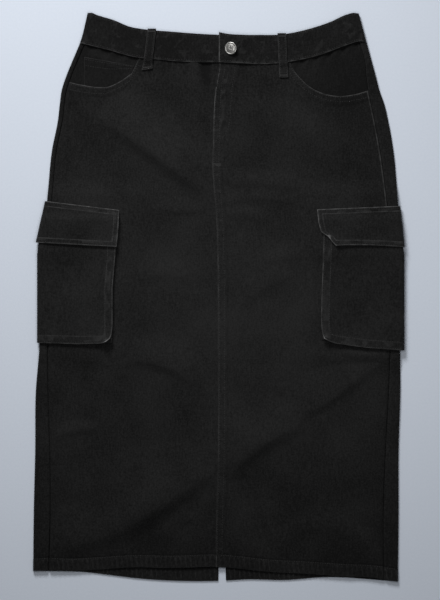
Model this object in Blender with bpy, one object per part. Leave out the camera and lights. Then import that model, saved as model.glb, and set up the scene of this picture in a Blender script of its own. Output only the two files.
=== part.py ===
"""Black denim cargo skirt, buttoned and laid flat on its back.

The skirt is a flattened tube: a front sheet and a back sheet that turn into each other over a
small round at each side. +Y runs from hem to waist, +Z points up, and +X is the wearer's left.
The origin is under the middle of the outline, on the surface that the skirt rests on.
Sizes are in millimetres until a point is placed.
"""

import math
from collections import namedtuple

import bmesh
import bpy
from mathutils import Vector

MM = 0.001

# Cloth
CLOTH = 1.2
BAND_CLOTH = 2.0
GAP = 0.3
LAYER = CLOTH + GAP
INSIDE = 1.8
LOOP_WIDTH = 12.0

# Heights of the middle of the cloth
BACK_MIDDLE = CLOTH / 2
FRONT_MIDDLE = BACK_MIDDLE + CLOTH + INSIDE
BAND_BACK_MIDDLE = LAYER + BAND_CLOTH / 2
BAND_FRONT_MIDDLE = FRONT_MIDDLE + LAYER + CLOTH / 2 + GAP + BAND_CLOTH / 2

# Waistband closure and button
CLOSURE_X = 0.5
UNDERLAP_END_X = 32.0
OVERLAP_RAMP = (34.0, 62.0)
BUTTON_PLACE = (16.5, 356.0)
BUTTON_STEPS = 24

# Centre-back slit
CENTRE_BACK_X = 5.0
SLIT_TOP_Y = -215.0
SLIT_BOTTOM_Y = -406.0
SLIT_WIDTH = 11.0

# Cargo pockets: how far the rear edge lies in from the side fold, and how the skirt is raised there
POCKET_REAR = 82.0
FLAP_REAR = 84.0
GUSSET_WIDTH = 12.0
POCKET_TOP_Y = 108.0
REAR_PLATEAU = 90.0
FRONT_PLATEAU = 116.0
PLATEAU_RAMP = 32.0
POCKET_RAMP_Y = (-106.0, -80.0, 142.0, 170.0)
FLAP_RAMP_Y = (46.0, 66.0, 142.0, 170.0)
BAND_RAMP_Y = (270.0, 316.0)

SideRow = namedtuple("SideRow", "y right_fold left_fold right_seam left_seam")
SIDES = [
    SideRow(-406, -265, 256, -243, 236),
    SideRow(-305, -264, 257, -240.5, 235.5),
    SideRow(-219, -262, 257, -241, 238.5),
    SideRow(-133, -261, 259.5, -243.5, 243),
    SideRow(-70, -255.5, 259, -244, 245),
    SideRow(146, -244, 255, -240, 239.5),
    SideRow(210, -238, 249.5, -234.5, 231),
    SideRow(253, -229.5, 242, -226.5, 223),
    SideRow(275, -227, 237, -224, 218.5),
    SideRow(296, -224, 229.5, -221, 214),
    SideRow(317, -217, 224, -214, 211),
    SideRow(339, -208, 218, -205, 209),
    SideRow(363, -198, 211.5, -195, 202),
    SideRow(406, -187, 200, -184, 197),
]

CentreRow = namedtuple("CentreRow", "y x")
CENTRE_FRONT = [
    CentreRow(-395, -3.5),
    CentreRow(-347, -3.5),
    CentreRow(-219, -0.5),
    CentreRow(-61, -0.5),
    CentreRow(112, -3),
    CentreRow(192, -8.5),
    CentreRow(221, -7.5),
    CentreRow(293, -4.5),
    CentreRow(333, 1.5),
]

EdgeRow = namedtuple("EdgeRow", "x y")
FRONT_HEM = [
    EdgeRow(-265, -391),
    EdgeRow(-170, -389),
    EdgeRow(-117, -386),
    EdgeRow(0, -385.5),
    EdgeRow(80, -393),
    EdgeRow(180, -399),
    EdgeRow(218, -400.5),
    EdgeRow(256, -406),
]
BACK_HEM = [
    EdgeRow(-265, -391),
    EdgeRow(-188, -393),
    EdgeRow(-111, -402),
    EdgeRow(-64, -405),
    EdgeRow(5, -405),
    EdgeRow(44, -403),
    EdgeRow(93, -404),
    EdgeRow(151, -400),
    EdgeRow(256, -406),
]
BAND_SEAM = [
    EdgeRow(-199, 363),
    EdgeRow(-155, 352),
    EdgeRow(-122, 343),
    EdgeRow(-87, 339),
    EdgeRow(-51, 336),
    EdgeRow(1, 335),
    EdgeRow(83, 333.5),
    EdgeRow(102, 336),
    EdgeRow(143, 345),
    EdgeRow(184, 360),
    EdgeRow(201, 365),
    EdgeRow(212, 364),
]
BAND_TOP = [
    EdgeRow(-188, 403),
    EdgeRow(-184, 406),
    EdgeRow(-172, 402),
    EdgeRow(-149, 395),
    EdgeRow(-127, 386),
    EdgeRow(-104, 382),
    EdgeRow(-69, 379),
    EdgeRow(-24, 375.5),
    EdgeRow(57, 374),
    EdgeRow(91, 375),
    EdgeRow(114, 379),
    EdgeRow(137, 385),
    EdgeRow(160, 393),
    EdgeRow(182, 403),
    EdgeRow(194, 406),
    EdgeRow(200, 404),
]
SCOOP = {
    "right": [
        EdgeRow(-222, 309),
        EdgeRow(-196, 303),
        EdgeRow(-171, 299.5),
        EdgeRow(-158, 300),
        EdgeRow(-144, 306),
        EdgeRow(-130, 315),
        EdgeRow(-121, 323),
        EdgeRow(-114, 340),
    ],
    "left": [
        EdgeRow(102, 335.5),
        EdgeRow(106, 326),
        EdgeRow(116, 313),
        EdgeRow(132, 299),
        EdgeRow(149, 291),
        EdgeRow(171, 287),
        EdgeRow(192, 289),
        EdgeRow(226, 299),
    ],
}
COIN_TOP = [EdgeRow(-192, 343), EdgeRow(-121, 330)]
FACING_BELOW_BAND = 3.0
COIN_LEFT_X = -192.0
COIN_RIGHT_X = -122.0

# Cargo pocket outlines on the front, by height: the inner edge and the outer fold
PocketRow = namedtuple("PocketRow", "y inner outer")
POCKET = {
    "right": [PocketRow(-67, -157, -259), PocketRow(60, -149, -259), PocketRow(110, -147, -252)],
    "left": [
        PocketRow(-76, 147, 265),
        PocketRow(60, 148, 265),
        PocketRow(72, 148, 263),
        PocketRow(110, 149, 259),
    ],
}
POCKET_BOTTOM = {
    "right": [EdgeRow(-258, -66), EdgeRow(-157, -66)],
    "left": [EdgeRow(147, -60), EdgeRow(209, -72), EdgeRow(264, -76)],
}
FLAP = {
    "right": [PocketRow(72, -145, -262), PocketRow(137, -141, -247.5)],
    "left": [
        PocketRow(72, 166, 265),
        PocketRow(85, 157, 264),
        PocketRow(93, 146, 263),
        PocketRow(106, 142, 261.5),
        PocketRow(130, 140, 259),
    ],
}
FLAP_BOTTOM = {
    "right": [EdgeRow(-262, 78), EdgeRow(-145, 71.5)],
    "left": [EdgeRow(166, 73), EdgeRow(265, 71.5)],
}
FLAP_TOP = {
    "right": [EdgeRow(-247, 137), EdgeRow(-141, 124)],
    "left": [EdgeRow(140, 125), EdgeRow(259, 130)],
}

# The largest soft folds of the front: two ends and a middle that the crest bends through
FoldRow = namedtuple("FoldRow", "x1 y1 xm ym x2 y2 height width")
FOLDS = [
    FoldRow(-150, 228, -90, 205, -30, 166, 3.0, 26),
    FoldRow(22, 150, 70, 158, 118, 150, 1.6, 14),
    FoldRow(12, 128, 45, 130, 80, 124, 1.4, 12),
    FoldRow(-135, -92, -84, -78, -26, -122, 2.6, 24),
    FoldRow(-202, -342, -110, -284, -16, -236, 5.5, 30),
    FoldRow(12, -250, 60, -198, 130, -150, 5.0, 30),
    FoldRow(20, -2, 60, 12, 100, 24, 1.4, 16),
    FoldRow(52, -270, 66, -312, 80, -350, 2.0, 14),
    FoldRow(-217, 262, -220, 230, -218, 196, 1.4, 12),
]
FOLD_POINTS = 16

BeltLoop = namedtuple("BeltLoop", "name top_x top_y bottom_x bottom_y")
FRONT_LOOPS = [
    BeltLoop("belt_loop_front_right", -95, 381, -101.5, 326),
    BeltLoop("belt_loop_front_left", 90, 375, 93, 314),
]
BACK_LOOPS = [
    BeltLoop("belt_loop_back_right", -95, 380, -97, 322),
    BeltLoop("belt_loop_back_centre", 5, 373, 5, 318),
    BeltLoop("belt_loop_back_left", 105, 376, 107, 320),
]

ButtonRow = namedtuple("ButtonRow", "radius height")
BUTTON = [
    ButtonRow(0, 0),
    ButtonRow(5.5, 0),
    ButtonRow(5.5, 0.8),
    ButtonRow(8.6, 1.0),
    ButtonRow(9.0, 1.6),
    ButtonRow(8.4, 2.5),
    ButtonRow(5.5, 3.0),
    ButtonRow(0, 3.3),
]

MaterialRow = namedtuple("MaterialRow", "name colour roughness metallic")
DENIM = MaterialRow("black denim", (0.014, 0.014, 0.015, 1), 0.9, 0.0)
SILVER = MaterialRow("silver metal", (0.45, 0.45, 0.44, 1), 0.35, 1.0)

# Rows of crossings between a panel's lower and upper edges
PANEL_ROWS_Y = [-372, -340, -305, -272, -240, -215, -170, -133, -106, -93, -80, -45, 0, 46, 56, 66, 104]
PANEL_ROWS_Y += [142, 156, 170, 200, 235, 270]
POCKET_ROWS_Y = [-40, 0, 46, 56, 66]
FLAP_ROWS_Y = [86, 96, 106, 112, 118]
FRONT_SHARES = [0.0, 0.08, 0.17, 0.26, 0.35, 0.44, 0.49, 0.53, 0.58, 0.64, 0.71, 0.79, 0.88, 1.0]
FOLD_TURNS = [0.17, 0.33, 0.5, 0.67, 0.83]


def read(table, at, column, value):
    """The column's value where the table's first-named field reaches the value, on straight lines."""
    before = table[0]
    for row in table:
        low, high = getattr(before, at), getattr(row, at)
        if value <= high and high > low:
            share = max(0.0, (value - low) / (high - low))
            start = getattr(before, column)
            return start + share * (getattr(row, column) - start)
        before = row
    return getattr(table[-1], column)


def step(value, start, end):
    """0 before the start, 1 after the end, and a soft turn between."""
    share = min(1.0, max(0.0, (value - start) / (end - start)))
    return share * share * (3 - 2 * share)


def between(start, end, share):
    return start + share * (end - start)


def plateau(value, ramps):
    """1 between the inner two of four values, 0 outside the outer two."""
    return step(value, ramps[0], ramps[1]) * (1 - step(value, ramps[2], ramps[3]))


def outward(side):
    return -1.0 if side == "right" else 1.0


def side_of(x):
    return "right" if x < CENTRE_BACK_X else "left"


def fold_x(side, y):
    """The middle of the cloth at the skirt's side fold."""
    return read(SIDES, "y", side + "_fold", y) - outward(side) * CLOTH / 2


def pocket_lift(x, y, reach):
    """How far the pocket's layers under the back raise the skirt at one place."""
    side = side_of(x)
    inward = (fold_x(side, y) - x) * outward(side)
    near = 1 - step(inward, reach, reach + PLATEAU_RAMP)
    pocket = 2 * LAYER * plateau(y, POCKET_RAMP_Y)
    flap = LAYER * plateau(y, FLAP_RAMP_Y)
    return near * (pocket + flap)


def band_lift(y):
    """The back belt loops raise the band and the cloth next to it by one layer."""
    return LAYER * step(y, *BAND_RAMP_Y)


def fold_height(x, y):
    """The soft folds' height at one place of the front."""
    total = 0.0
    for fold in FOLDS:
        nearest = None
        for i in range(FOLD_POINTS + 1):
            t = i / FOLD_POINTS
            crest_x = (1 - t) ** 2 * fold.x1 + 2 * t * (1 - t) * fold.xm + t * t * fold.x2
            crest_y = (1 - t) ** 2 * fold.y1 + 2 * t * (1 - t) * fold.ym + t * t * fold.y2
            distance = math.hypot(x - crest_x, y - crest_y)
            if nearest is None or distance < nearest[0]:
                nearest = (distance, math.sin(math.pi * t) ** 0.6)
        total += fold.height * nearest[1] * math.exp(-((nearest[0] / fold.width) ** 2))
    return total


def front_height(x, y):
    lift = pocket_lift(x, y, FRONT_PLATEAU)
    flat_here = lift / (3 * LAYER)
    return FRONT_MIDDLE + lift + band_lift(y) + fold_height(x, y) * (1 - min(1.0, 2 * flat_here))


def back_height(x, y):
    return BACK_MIDDLE + pocket_lift(x, y, REAR_PLATEAU) + band_lift(y)


def over_fold(side, y, s, ends, layers):
    """A point on cloth from the front (s 0 to 1) over the side fold (1 to 2) to the back (2 to 3).

    ends holds the x of the front edge, the fold and the rear edge, and layers how many layers of
    cloth lie between this one and the skirt, at the front and at the back.
    """
    front_x, apex_x, rear_x = ends
    out = outward(side)
    top = front_height(fold_x(side, y), y) + layers[0] * LAYER
    bottom = back_height(fold_x(side, y), y) - layers[1] * LAYER
    radius = (top - bottom) / 2
    turn_x = apex_x - out * radius
    if s <= 1:
        x = between(front_x, turn_x, s)
        return Vector((x, y, front_height(x, y) + layers[0] * LAYER))
    if s < 2:
        angle = (s - 1) * math.pi
        z = bottom + radius * (1 + math.cos(angle))
        return Vector((turn_x + out * radius * math.sin(angle), y, z))
    x = between(turn_x, rear_x, s - 2)
    return Vector((x, y, back_height(x, y) - layers[1] * LAYER))


def edge(table, lowered=0.0):
    """An edge of the outline as a function: its y at an x."""
    return lambda x: read(table, "x", "y", x) - lowered


def settle(at, edge_y, start_y):
    """The y where a column, whose x depends on y, meets an edge, whose y depends on x."""
    y = start_y
    for _ in range(12):
        y = between(y, edge_y(at(y).x), 0.7)
    return y


def column(at, bottom_edge, top_edge, fixed, above):
    """One column of crossings: its lower edge, the fixed rows, then equal steps to its upper edge."""
    bottom = settle(at, bottom_edge, fixed[0])
    top = settle(at, top_edge, fixed[-1])
    rise = [between(fixed[-1], top, (i + 1) / above) for i in range(above)]
    return [at(y) for y in [bottom] + fixed + rise]


def shares(count):
    return [i / count for i in range(count + 1)]


def material(row):
    made = bpy.data.materials.get(row.name) or bpy.data.materials.new(row.name)
    made.use_nodes = True
    shader = made.node_tree.nodes["Principled BSDF"]
    shader.inputs["Base Color"].default_value = row.colour
    shader.inputs["Roughness"].default_value = row.roughness
    shader.inputs["Metallic"].default_value = row.metallic
    return made


def add_object(name, bm, finish):
    mesh = bpy.data.meshes.new(name)
    bm.to_mesh(mesh)
    bm.free()
    mesh.shade_smooth()
    mesh.set_sharp_from_angle(angle=math.radians(40))
    mesh.materials.append(material(finish))
    made = bpy.data.objects.new(name, mesh)
    bpy.context.scene.collection.objects.link(made)
    return made


def sheet(name, columns, thickness=CLOTH):
    """A piece of cloth: a grid with its crossings put in place column by column, then thickened."""
    bm = bmesh.new()
    across, along = len(columns) - 1, len(columns[0]) - 1
    bmesh.ops.create_grid(bm, x_segments=across, y_segments=along, size=0.5)
    for vert in bm.verts:
        i = round((vert.co.x + 0.5) * across)
        j = round((vert.co.y + 0.5) * along)
        vert.co = columns[i][j] * MM
    made = add_object(name, bm, DENIM)
    wall = made.modifiers.new("cloth", "SOLIDIFY")
    wall.thickness = thickness * MM
    wall.offset = 0
    wall.use_even_offset = True
    return made


def fold_level(side, table, start_y):
    """Where an edge crosses the side fold: the y that all of the fold's round keeps."""
    return settle(lambda y: Vector((fold_x(side, y), y, 0)), edge(table), start_y)


def front_top(side):
    """The front panel's upper edge: the band seam, or the scooped pocket mouth where that is lower."""
    scoop = SCOOP[side]

    def top(x):
        band = read(BAND_SEAM, "x", "y", x) - GAP
        inside = x < scoop[-1].x if side == "right" else x > scoop[0].x
        return min(band, read(scoop, "x", "y", x)) if inside else band

    return top


def front_panel(side):
    """From the centre-front seam to the side seam. Its upper edge is returned as a table."""
    out = outward(side)
    columns = []
    for share in FRONT_SHARES:

        def at(y, share=share):
            centre = read(CENTRE_FRONT, "y", "x", y) + out * GAP / 2
            seam = read(SIDES, "y", side + "_seam", y) - out * GAP / 2
            x = between(centre, seam, share)
            return Vector((x, y, front_height(x, y)))

        columns.append(column(at, edge(FRONT_HEM), front_top(side), PANEL_ROWS_Y, 2))
    sheet(f"front_panel_{side}", columns)
    return sorted(EdgeRow(points[-1].x, points[-1].y) for points in columns)


def slit_half(y):
    """Half the gap between the back panels: a seam above the slit's top, opening below it."""
    opened = min(1.0, max(0.0, (SLIT_TOP_Y - y) / (SLIT_TOP_Y - SLIT_BOTTOM_Y)))
    return between(GAP, SLIT_WIDTH, opened) / 2


def back_panel(side):
    """From the side seam on the front, over the fold, to the centre-back seam.

    Its upper points along the back are returned, so that the band can meet them.
    """
    out = outward(side)
    turns = [0, 0.99] + [1 + turn for turn in FOLD_TURNS] + [2]
    inward = [46, REAR_PLATEAU + 2, REAR_PLATEAU + 14, REAR_PLATEAU + 26]
    rest = [0.0, 0.35, 0.7, 1.0]
    rest_start = REAR_PLATEAU + PLATEAU_RAMP
    mouth_y = settle(
        lambda y: Vector((read(SIDES, "y", side + "_seam", y) - out * GAP / 2, y, 0)),
        front_top(side),
        300,
    )
    rows = PANEL_ROWS_Y + [between(PANEL_ROWS_Y[-1], mouth_y, 0.5), mouth_y]
    band_y = fold_level(side, BAND_SEAM, 363) - GAP

    def stations(y):
        whole = abs(CENTRE_BACK_X - fold_x(side, y))
        far = [between(rest_start / whole, 1, share) for share in rest]
        return turns + [2 + distance / whole for distance in inward] + [2 + share for share in far]

    columns = []
    for i in range(len(turns) + len(inward) + len(rest)):

        def at(y, i=i):
            front_x = read(SIDES, "y", side + "_seam", y) + out * GAP / 2
            rear_x = CENTRE_BACK_X + out * slit_half(y)
            return over_fold(side, y, stations(y)[i], (front_x, fold_x(side, y), rear_x), (0, 0))

        hem = FRONT_HEM if i < len(turns) - 1 else BACK_HEM
        in_fold = 0 < i < len(turns)
        top = (lambda x: band_y) if in_fold else edge(BAND_SEAM, GAP)
        columns.append(column(at, edge(hem), top, rows, 2))
    sheet(f"back_panel_{side}", columns)
    return [points[-1] for points in columns[len(turns) :]]


def pocket_facing(side):
    """The denim seen through the mouth of a front pocket, one layer below the front."""
    out = outward(side)
    inner_x = SCOOP[side][-1].x + 6 if side == "right" else SCOOP[side][0].x - 6
    hidden = 14
    mouth = front_top(side)
    columns = []
    for share in shares(9):

        def at(y, share=share):
            seam = read(SIDES, "y", side + "_seam", y) - out * GAP / 2
            x = between(inner_x, seam, share)
            return Vector((x, y, front_height(x, y) - LAYER))

        bottom = settle(at, lambda x: mouth(x) - hidden, 300)
        top = settle(at, edge(BAND_SEAM, FACING_BELOW_BAND), 345)
        columns.append([at(between(bottom, top, step_up)) for step_up in shares(3)])
    sheet(f"pocket_facing_{side}", columns)


def coin_pocket(front_edge):
    """The small pocket on the right facing, level with the front and cut off at the scoop."""
    columns = []
    for share in [0, 0.12, 0.3, 0.485, 0.69, 0.88, 1.0]:
        x = between(COIN_LEFT_X, COIN_RIGHT_X, share)
        bottom = read(front_edge, "x", "y", x) + GAP
        top = read(COIN_TOP, "x", "y", x)
        heights = [between(bottom, top, step_up) for step_up in shares(2)]
        columns.append([Vector((x, y, front_height(x, y))) for y in heights])
    sheet("coin_pocket", columns)


def waistband(left_tops, right_tops):
    """One ring of doubled cloth whose ends overlap at the centre front."""
    radius = (BAND_FRONT_MIDDLE - BAND_BACK_MIDDLE) / 2
    inset = (BAND_CLOTH - CLOTH) / 2

    def turns_at(y):
        return fold_x("left", y) - radius - inset, fold_x("right", y) + radius + inset

    def point(s, y):
        left, right = turns_at(y)
        if s <= 1:
            x = between(CLOSURE_X, left, s)
            raised = (BAND_CLOTH + GAP) * (1 - step(x, *OVERLAP_RAMP))
            return Vector((x, y, BAND_FRONT_MIDDLE + raised))
        if s < 2 or 3 < s < 4:
            turn = left if s < 2 else right
            angle = (s - 1) * math.pi
            z = BAND_BACK_MIDDLE + radius * (1 + math.cos(angle))
            return Vector((turn + radius * math.sin(angle), y, z))
        if s <= 3:
            return Vector((between(left, right, s - 2), y, BAND_BACK_MIDDLE))
        return Vector((between(right, UNDERLAP_END_X, s - 4), y, BAND_FRONT_MIDDLE))

    def add(s, low=None, top=None):
        def at(y):
            return point(s, y)

        low = settle(at, edge(BAND_SEAM), 350) if low is None else low
        top = settle(at, edge(BAND_TOP), 390) if top is None else top
        columns.append([at(between(low, top, share)) for share in shares(2)])

    def add_fold(side, start):
        low = fold_level(side, BAND_SEAM, 363)
        top = fold_level(side, BAND_TOP, 404)
        for turn in [0] + FOLD_TURNS + [1]:
            add(start + turn, low, top)

    columns = []
    for s in [0, 0.09, 0.17, 0.2, 0.24, 0.28, 0.32, 0.46, 0.58, 0.7, 0.82, 0.93]:
        add(s)
    add_fold("left", 1)
    for under in left_tops + right_tops[::-1]:
        low = under.y + GAP
        left, right = turns_at(low)
        add(2 + (left - under.x) / (left - right), low)
    add_fold("right", 3)
    for s in [0.02, 0.06, 0.13, 0.24, 0.34, 0.48, 0.62, 0.76, 0.88, 1]:
        add(4 + s)
    sheet("waistband", columns, BAND_CLOTH)


def belt_loop(row, on_front):
    """A strip from the top of the band down onto the panel below it."""
    seam_y = read(BAND_SEAM, "x", "y", row.bottom_x)
    over_band = BAND_FRONT_MIDDLE + BAND_CLOTH / 2 + GAP + CLOTH / 2
    over_panel = FRONT_MIDDLE + 2 * LAYER
    columns = []
    for side_x in (-LOOP_WIDTH / 2, LOOP_WIDTH / 2):
        points = []
        for y in [row.bottom_y, seam_y - 7, seam_y - 4, seam_y - 1, row.top_y]:
            share = (row.top_y - y) / (row.top_y - row.bottom_y)
            x = between(row.top_x, row.bottom_x, share) + side_x
            z = between(over_band, over_panel, step(seam_y - y, 1, 7)) if on_front else BACK_MIDDLE
            points.append(Vector((x, y, z)))
        columns.append(points)
    sheet(row.name, columns)


def pocket_ends(side, outline, rear, y, inset=0.0):
    """The x of a pocket layer's front edge, fold and rear edge."""
    out = outward(side)
    front_x = read(outline, "y", "inner", y)
    apex_x = read(outline, "y", "outer", y) - out * (CLOTH / 2 + inset)
    return front_x, apex_x, fold_x(side, y) - out * rear


WRAP_STATIONS = [0, 0.2, 0.6, 0.99] + [1 + turn for turn in FOLD_TURNS] + [2, 2.5, 3]


def cargo_pocket(side):
    columns = []
    for s in WRAP_STATIONS:

        def at(y, s=s):
            return over_fold(side, y, s, pocket_ends(side, POCKET[side], POCKET_REAR, y), (2, 2))

        columns.append(column(at, edge(POCKET_BOTTOM[side]), lambda x: POCKET_TOP_Y, POCKET_ROWS_Y, 1))
    sheet(f"cargo_pocket_{side}", columns)


def cargo_flap(side):
    """Sewn to the skirt along its top, over the pocket below that."""
    columns = []
    for s in WRAP_STATIONS:

        def at(y, s=s):
            ends = pocket_ends(side, FLAP[side], FLAP_REAR, y)
            over_pocket = 3 - 2 * step(y, POCKET_TOP_Y + 2, POCKET_TOP_Y + 12)
            return over_fold(side, y, s, ends, (over_pocket, 3))

        columns.append(column(at, edge(FLAP_BOTTOM[side]), edge(FLAP_TOP[side]), FLAP_ROWS_Y, 1))
    sheet(f"cargo_flap_{side}", columns)


def cargo_gusset(side):
    """The folded strip between a pocket and the skirt, round its front, bottom and rear edges."""
    out = outward(side)
    set_in = 1.0
    bottom = edge(POCKET_BOTTOM[side])

    def point(s, y, shift=0.0):
        ends = pocket_ends(side, POCKET[side], POCKET_REAR, y, LAYER)
        place = over_fold(side, y, s, ends, (1, 1))
        place.x += out * shift
        return place

    def foot(s, shift, up):
        y = settle(lambda at_y: point(min(s, 1.5), at_y, shift), bottom, -60) + set_in + up
        return point(s, y, shift)

    legs = [POCKET_TOP_Y, 66, 56, 46, 0]
    columns = []
    for y in legs:
        columns.append([point(0, y, set_in), point(0, y, set_in + GUSSET_WIDTH)])
    columns.append([foot(0, set_in, 0), foot(0, set_in + GUSSET_WIDTH, GUSSET_WIDTH)])
    for s in WRAP_STATIONS[2:-1]:
        columns.append([foot(s, 0, 0), foot(s, 0, GUSSET_WIDTH)])
    columns.append([foot(3, set_in, 0), foot(3, set_in + GUSSET_WIDTH, GUSSET_WIDTH)])
    for y in reversed(legs):
        columns.append([point(3, y, set_in), point(3, y, set_in + GUSSET_WIDTH)])
    sheet(f"cargo_gusset_{side}", columns)


def button():
    """A turned metal button that stands on the band's upper end."""
    bm = bmesh.new()
    verts = [bm.verts.new((row.radius * MM, 0, row.height * MM)) for row in BUTTON]
    edges = [bm.edges.new(pair) for pair in zip(verts, verts[1:])]
    bmesh.ops.spin(
        bm,
        geom=verts + edges,
        axis=(0, 0, 1),
        angle=math.tau,
        steps=BUTTON_STEPS,
        use_merge=True,
    )
    bmesh.ops.remove_doubles(bm, verts=bm.verts, dist=1e-6)
    bmesh.ops.recalc_face_normals(bm, faces=bm.faces)
    foot = BAND_FRONT_MIDDLE + BAND_CLOTH + GAP + BAND_CLOTH / 2 + GAP
    add_object("button", bm, SILVER).location = Vector((*BUTTON_PLACE, foot)) * MM


def build():
    for old in list(bpy.data.objects):
        bpy.data.objects.remove(old, do_unlink=True)
    front_tops, back_tops = {}, {}
    for side in ("right", "left"):
        front_tops[side] = front_panel(side)
        back_tops[side] = back_panel(side)
        pocket_facing(side)
        cargo_gusset(side)
        cargo_pocket(side)
        cargo_flap(side)
    coin_pocket(front_tops["right"])
    waistband(back_tops["left"], back_tops["right"])
    for row in FRONT_LOOPS:
        belt_loop(row, True)
    for row in BACK_LOOPS:
        belt_loop(row, False)
    button()


build()
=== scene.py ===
# %% [markdown]
# # A black denim cargo skirt, laid flat
# The frame holds the skirt's plain solids: panels, band, pockets, flaps, loops and a button.
# This lesson makes the cloth that is seen in their place: thin denim sheets that lie on each
# other, with soft folds, lapped seams, puckered hems, rows of stitches and worn edges.

# %% Load the frame
import math

import bmesh
import bpy
import numpy as np
from mathutils import Matrix, Vector


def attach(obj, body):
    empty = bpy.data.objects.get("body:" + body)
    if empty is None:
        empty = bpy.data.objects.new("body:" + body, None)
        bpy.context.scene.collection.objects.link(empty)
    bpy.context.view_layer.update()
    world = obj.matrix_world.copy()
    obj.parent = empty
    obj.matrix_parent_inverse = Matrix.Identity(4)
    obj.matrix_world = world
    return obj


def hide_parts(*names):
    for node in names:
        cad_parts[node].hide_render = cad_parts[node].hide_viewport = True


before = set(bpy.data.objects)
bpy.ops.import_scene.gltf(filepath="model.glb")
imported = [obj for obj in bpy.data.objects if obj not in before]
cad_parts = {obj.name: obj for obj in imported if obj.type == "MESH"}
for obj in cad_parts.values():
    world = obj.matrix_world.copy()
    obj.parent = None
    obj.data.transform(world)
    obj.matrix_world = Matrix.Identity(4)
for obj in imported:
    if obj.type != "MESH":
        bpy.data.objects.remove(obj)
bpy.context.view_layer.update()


def add_object(name, data):
    """Puts a mesh, a lamp or a camera into the scene."""
    made = bpy.data.objects.new(name, data)
    bpy.context.scene.collection.objects.link(made)
    return made


# %% [markdown]
# ## Camera first
# A garment laid on a table is seen best from straight above. A long lens far away keeps the view
# free of perspective, so the camera only needs its height and the length that it should see.

# %% Camera
MM = 0.001
CAMERA_HEIGHT = 3.0
VIEW_LENGTH = 858 * MM  # the skirt from hem to waist, and a small margin
SENSOR_MM = 24.0
VIEW_CENTRE = (2.0 * MM, -4.0 * MM)

lens = bpy.data.cameras.new("overhead")
lens.sensor_fit = "VERTICAL"
lens.sensor_height = SENSOR_MM
lens.lens = SENSOR_MM * CAMERA_HEIGHT / VIEW_LENGTH
camera = add_object("overhead", lens)
camera.location = (*VIEW_CENTRE, CAMERA_HEIGHT)
bpy.context.scene.camera = camera
print("lens, mm:", round(lens.lens, 1))

# %% [markdown]
# ## Light and floor
# Black cloth shows its folds only when light rakes across it. One soft lamp stands low beyond the
# waist, a little to the left, and a weak one hangs over the middle. The floor is plain and pale.

# %% Light and floor
def area_light(name, place, size, watts):
    """A square lamp that faces the skirt and isn't seen itself."""
    lamp = bpy.data.lights.new(name, "AREA")
    lamp.size = size
    lamp.energy = watts
    holder = add_object(name, lamp)
    holder.location = place
    holder.rotation_euler = (-Vector(place)).to_track_quat("-Z", "Y").to_euler()
    holder.visible_camera = False


area_light("key", (-0.48, 1.5, 1.15), 0.6, 31)
area_light("fill", (0.05, 0.02, 0.9), 0.4, 2.1)

world = bpy.data.worlds.new("studio")
world.use_nodes = True
sky = world.node_tree.nodes["Background"].inputs
sky["Color"].default_value = (0.97, 0.98, 1.0, 1)
sky["Strength"].default_value = 0.13
bpy.context.scene.world = world
bpy.context.scene.view_settings.view_transform = "Standard"

floor_bm = bmesh.new()
bmesh.ops.create_grid(floor_bm, x_segments=1, y_segments=1, size=4.0)
floor_mesh = bpy.data.meshes.new("floor")
floor_bm.to_mesh(floor_mesh)
floor_bm.free()
floor = add_object("floor", floor_mesh)
print("lamps:", len(bpy.data.lights))

# %% [markdown]
# ## The cutting table
# These are the same sizes as the frame's, in millimetres: X to the wearer's left, Y to the waist.
# Each table is an outline with only the points that it needs, and `smooth_line` draws a curve
# through them. A pattern cutter's French curve does the same between marked points.

# %% Sizes and outlines
CLOTH = 1.2
GAP = 0.3
LAYER = CLOTH + GAP
INSIDE = 1.8
BACK_MIDDLE = CLOTH / 2
FRONT_MIDDLE = BACK_MIDDLE + CLOTH + INSIDE
BAND_CLOTH = 2.0
BAND_BACK = LAYER + BAND_CLOTH / 2
BAND_FRONT = FRONT_MIDDLE + LAYER + CLOTH / 2 + GAP + BAND_CLOTH / 2


def smooth_line(*rows):
    """A curve through rows of (at, value), as a function that takes arrays."""
    at, value = np.array(sorted(rows), float).T
    slope = np.gradient(value, at)

    def curve(where):
        where = np.clip(np.asarray(where, float), at[0], at[-1])
        i = np.clip(np.searchsorted(at, where) - 1, 0, len(at) - 2)
        span = at[i + 1] - at[i]
        t = (where - at[i]) / span
        start = (1 + 2 * t) * (1 - t) ** 2 * value[i] + t * (1 - t) ** 2 * span * slope[i]
        end = t * t * (3 - 2 * t) * value[i + 1] + t * t * (t - 1) * span * slope[i + 1]
        return start + end

    return curve


FOLD_X = {
    "right": smooth_line((-406, -265), (-305, -264), (-219, -262), (-133, -261), (-70, -255.5),
                         (146, -244), (210, -238), (253, -229.5), (275, -227), (296, -224),
                         (317, -217), (339, -208), (363, -198), (406, -187)),
    "left": smooth_line((-406, 256), (-305, 257), (-219, 257), (-133, 259.5), (-70, 259),
                        (146, 255), (210, 249.5), (253, 242), (275, 237), (296, 229.5),
                        (317, 224), (339, 218), (363, 211.5), (406, 200)),
}
SEAM_X = {
    "right": smooth_line((-406, -243), (-305, -240.5), (-219, -241), (-133, -243.5), (-70, -244),
                         (146, -237.5), (210, -231.5), (253, -223), (296, -217), (317, -210),
                         (339, -201), (363, -191), (406, -180)),
    "left": smooth_line((-406, 236), (-305, 235.5), (-219, 238.5), (-133, 243), (-70, 245),
                        (146, 239.5), (210, 231), (253, 223), (296, 214), (317, 211),
                        (339, 209), (363, 202), (406, 197)),
}
CENTRE_X = smooth_line((-395, -3.5), (-347, -3.5), (-219, -0.5), (-61, -0.5), (112, -3),
                       (192, -8.5), (221, -7.5), (293, -4.5), (333, 1.5), (350, 1.5))
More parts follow.
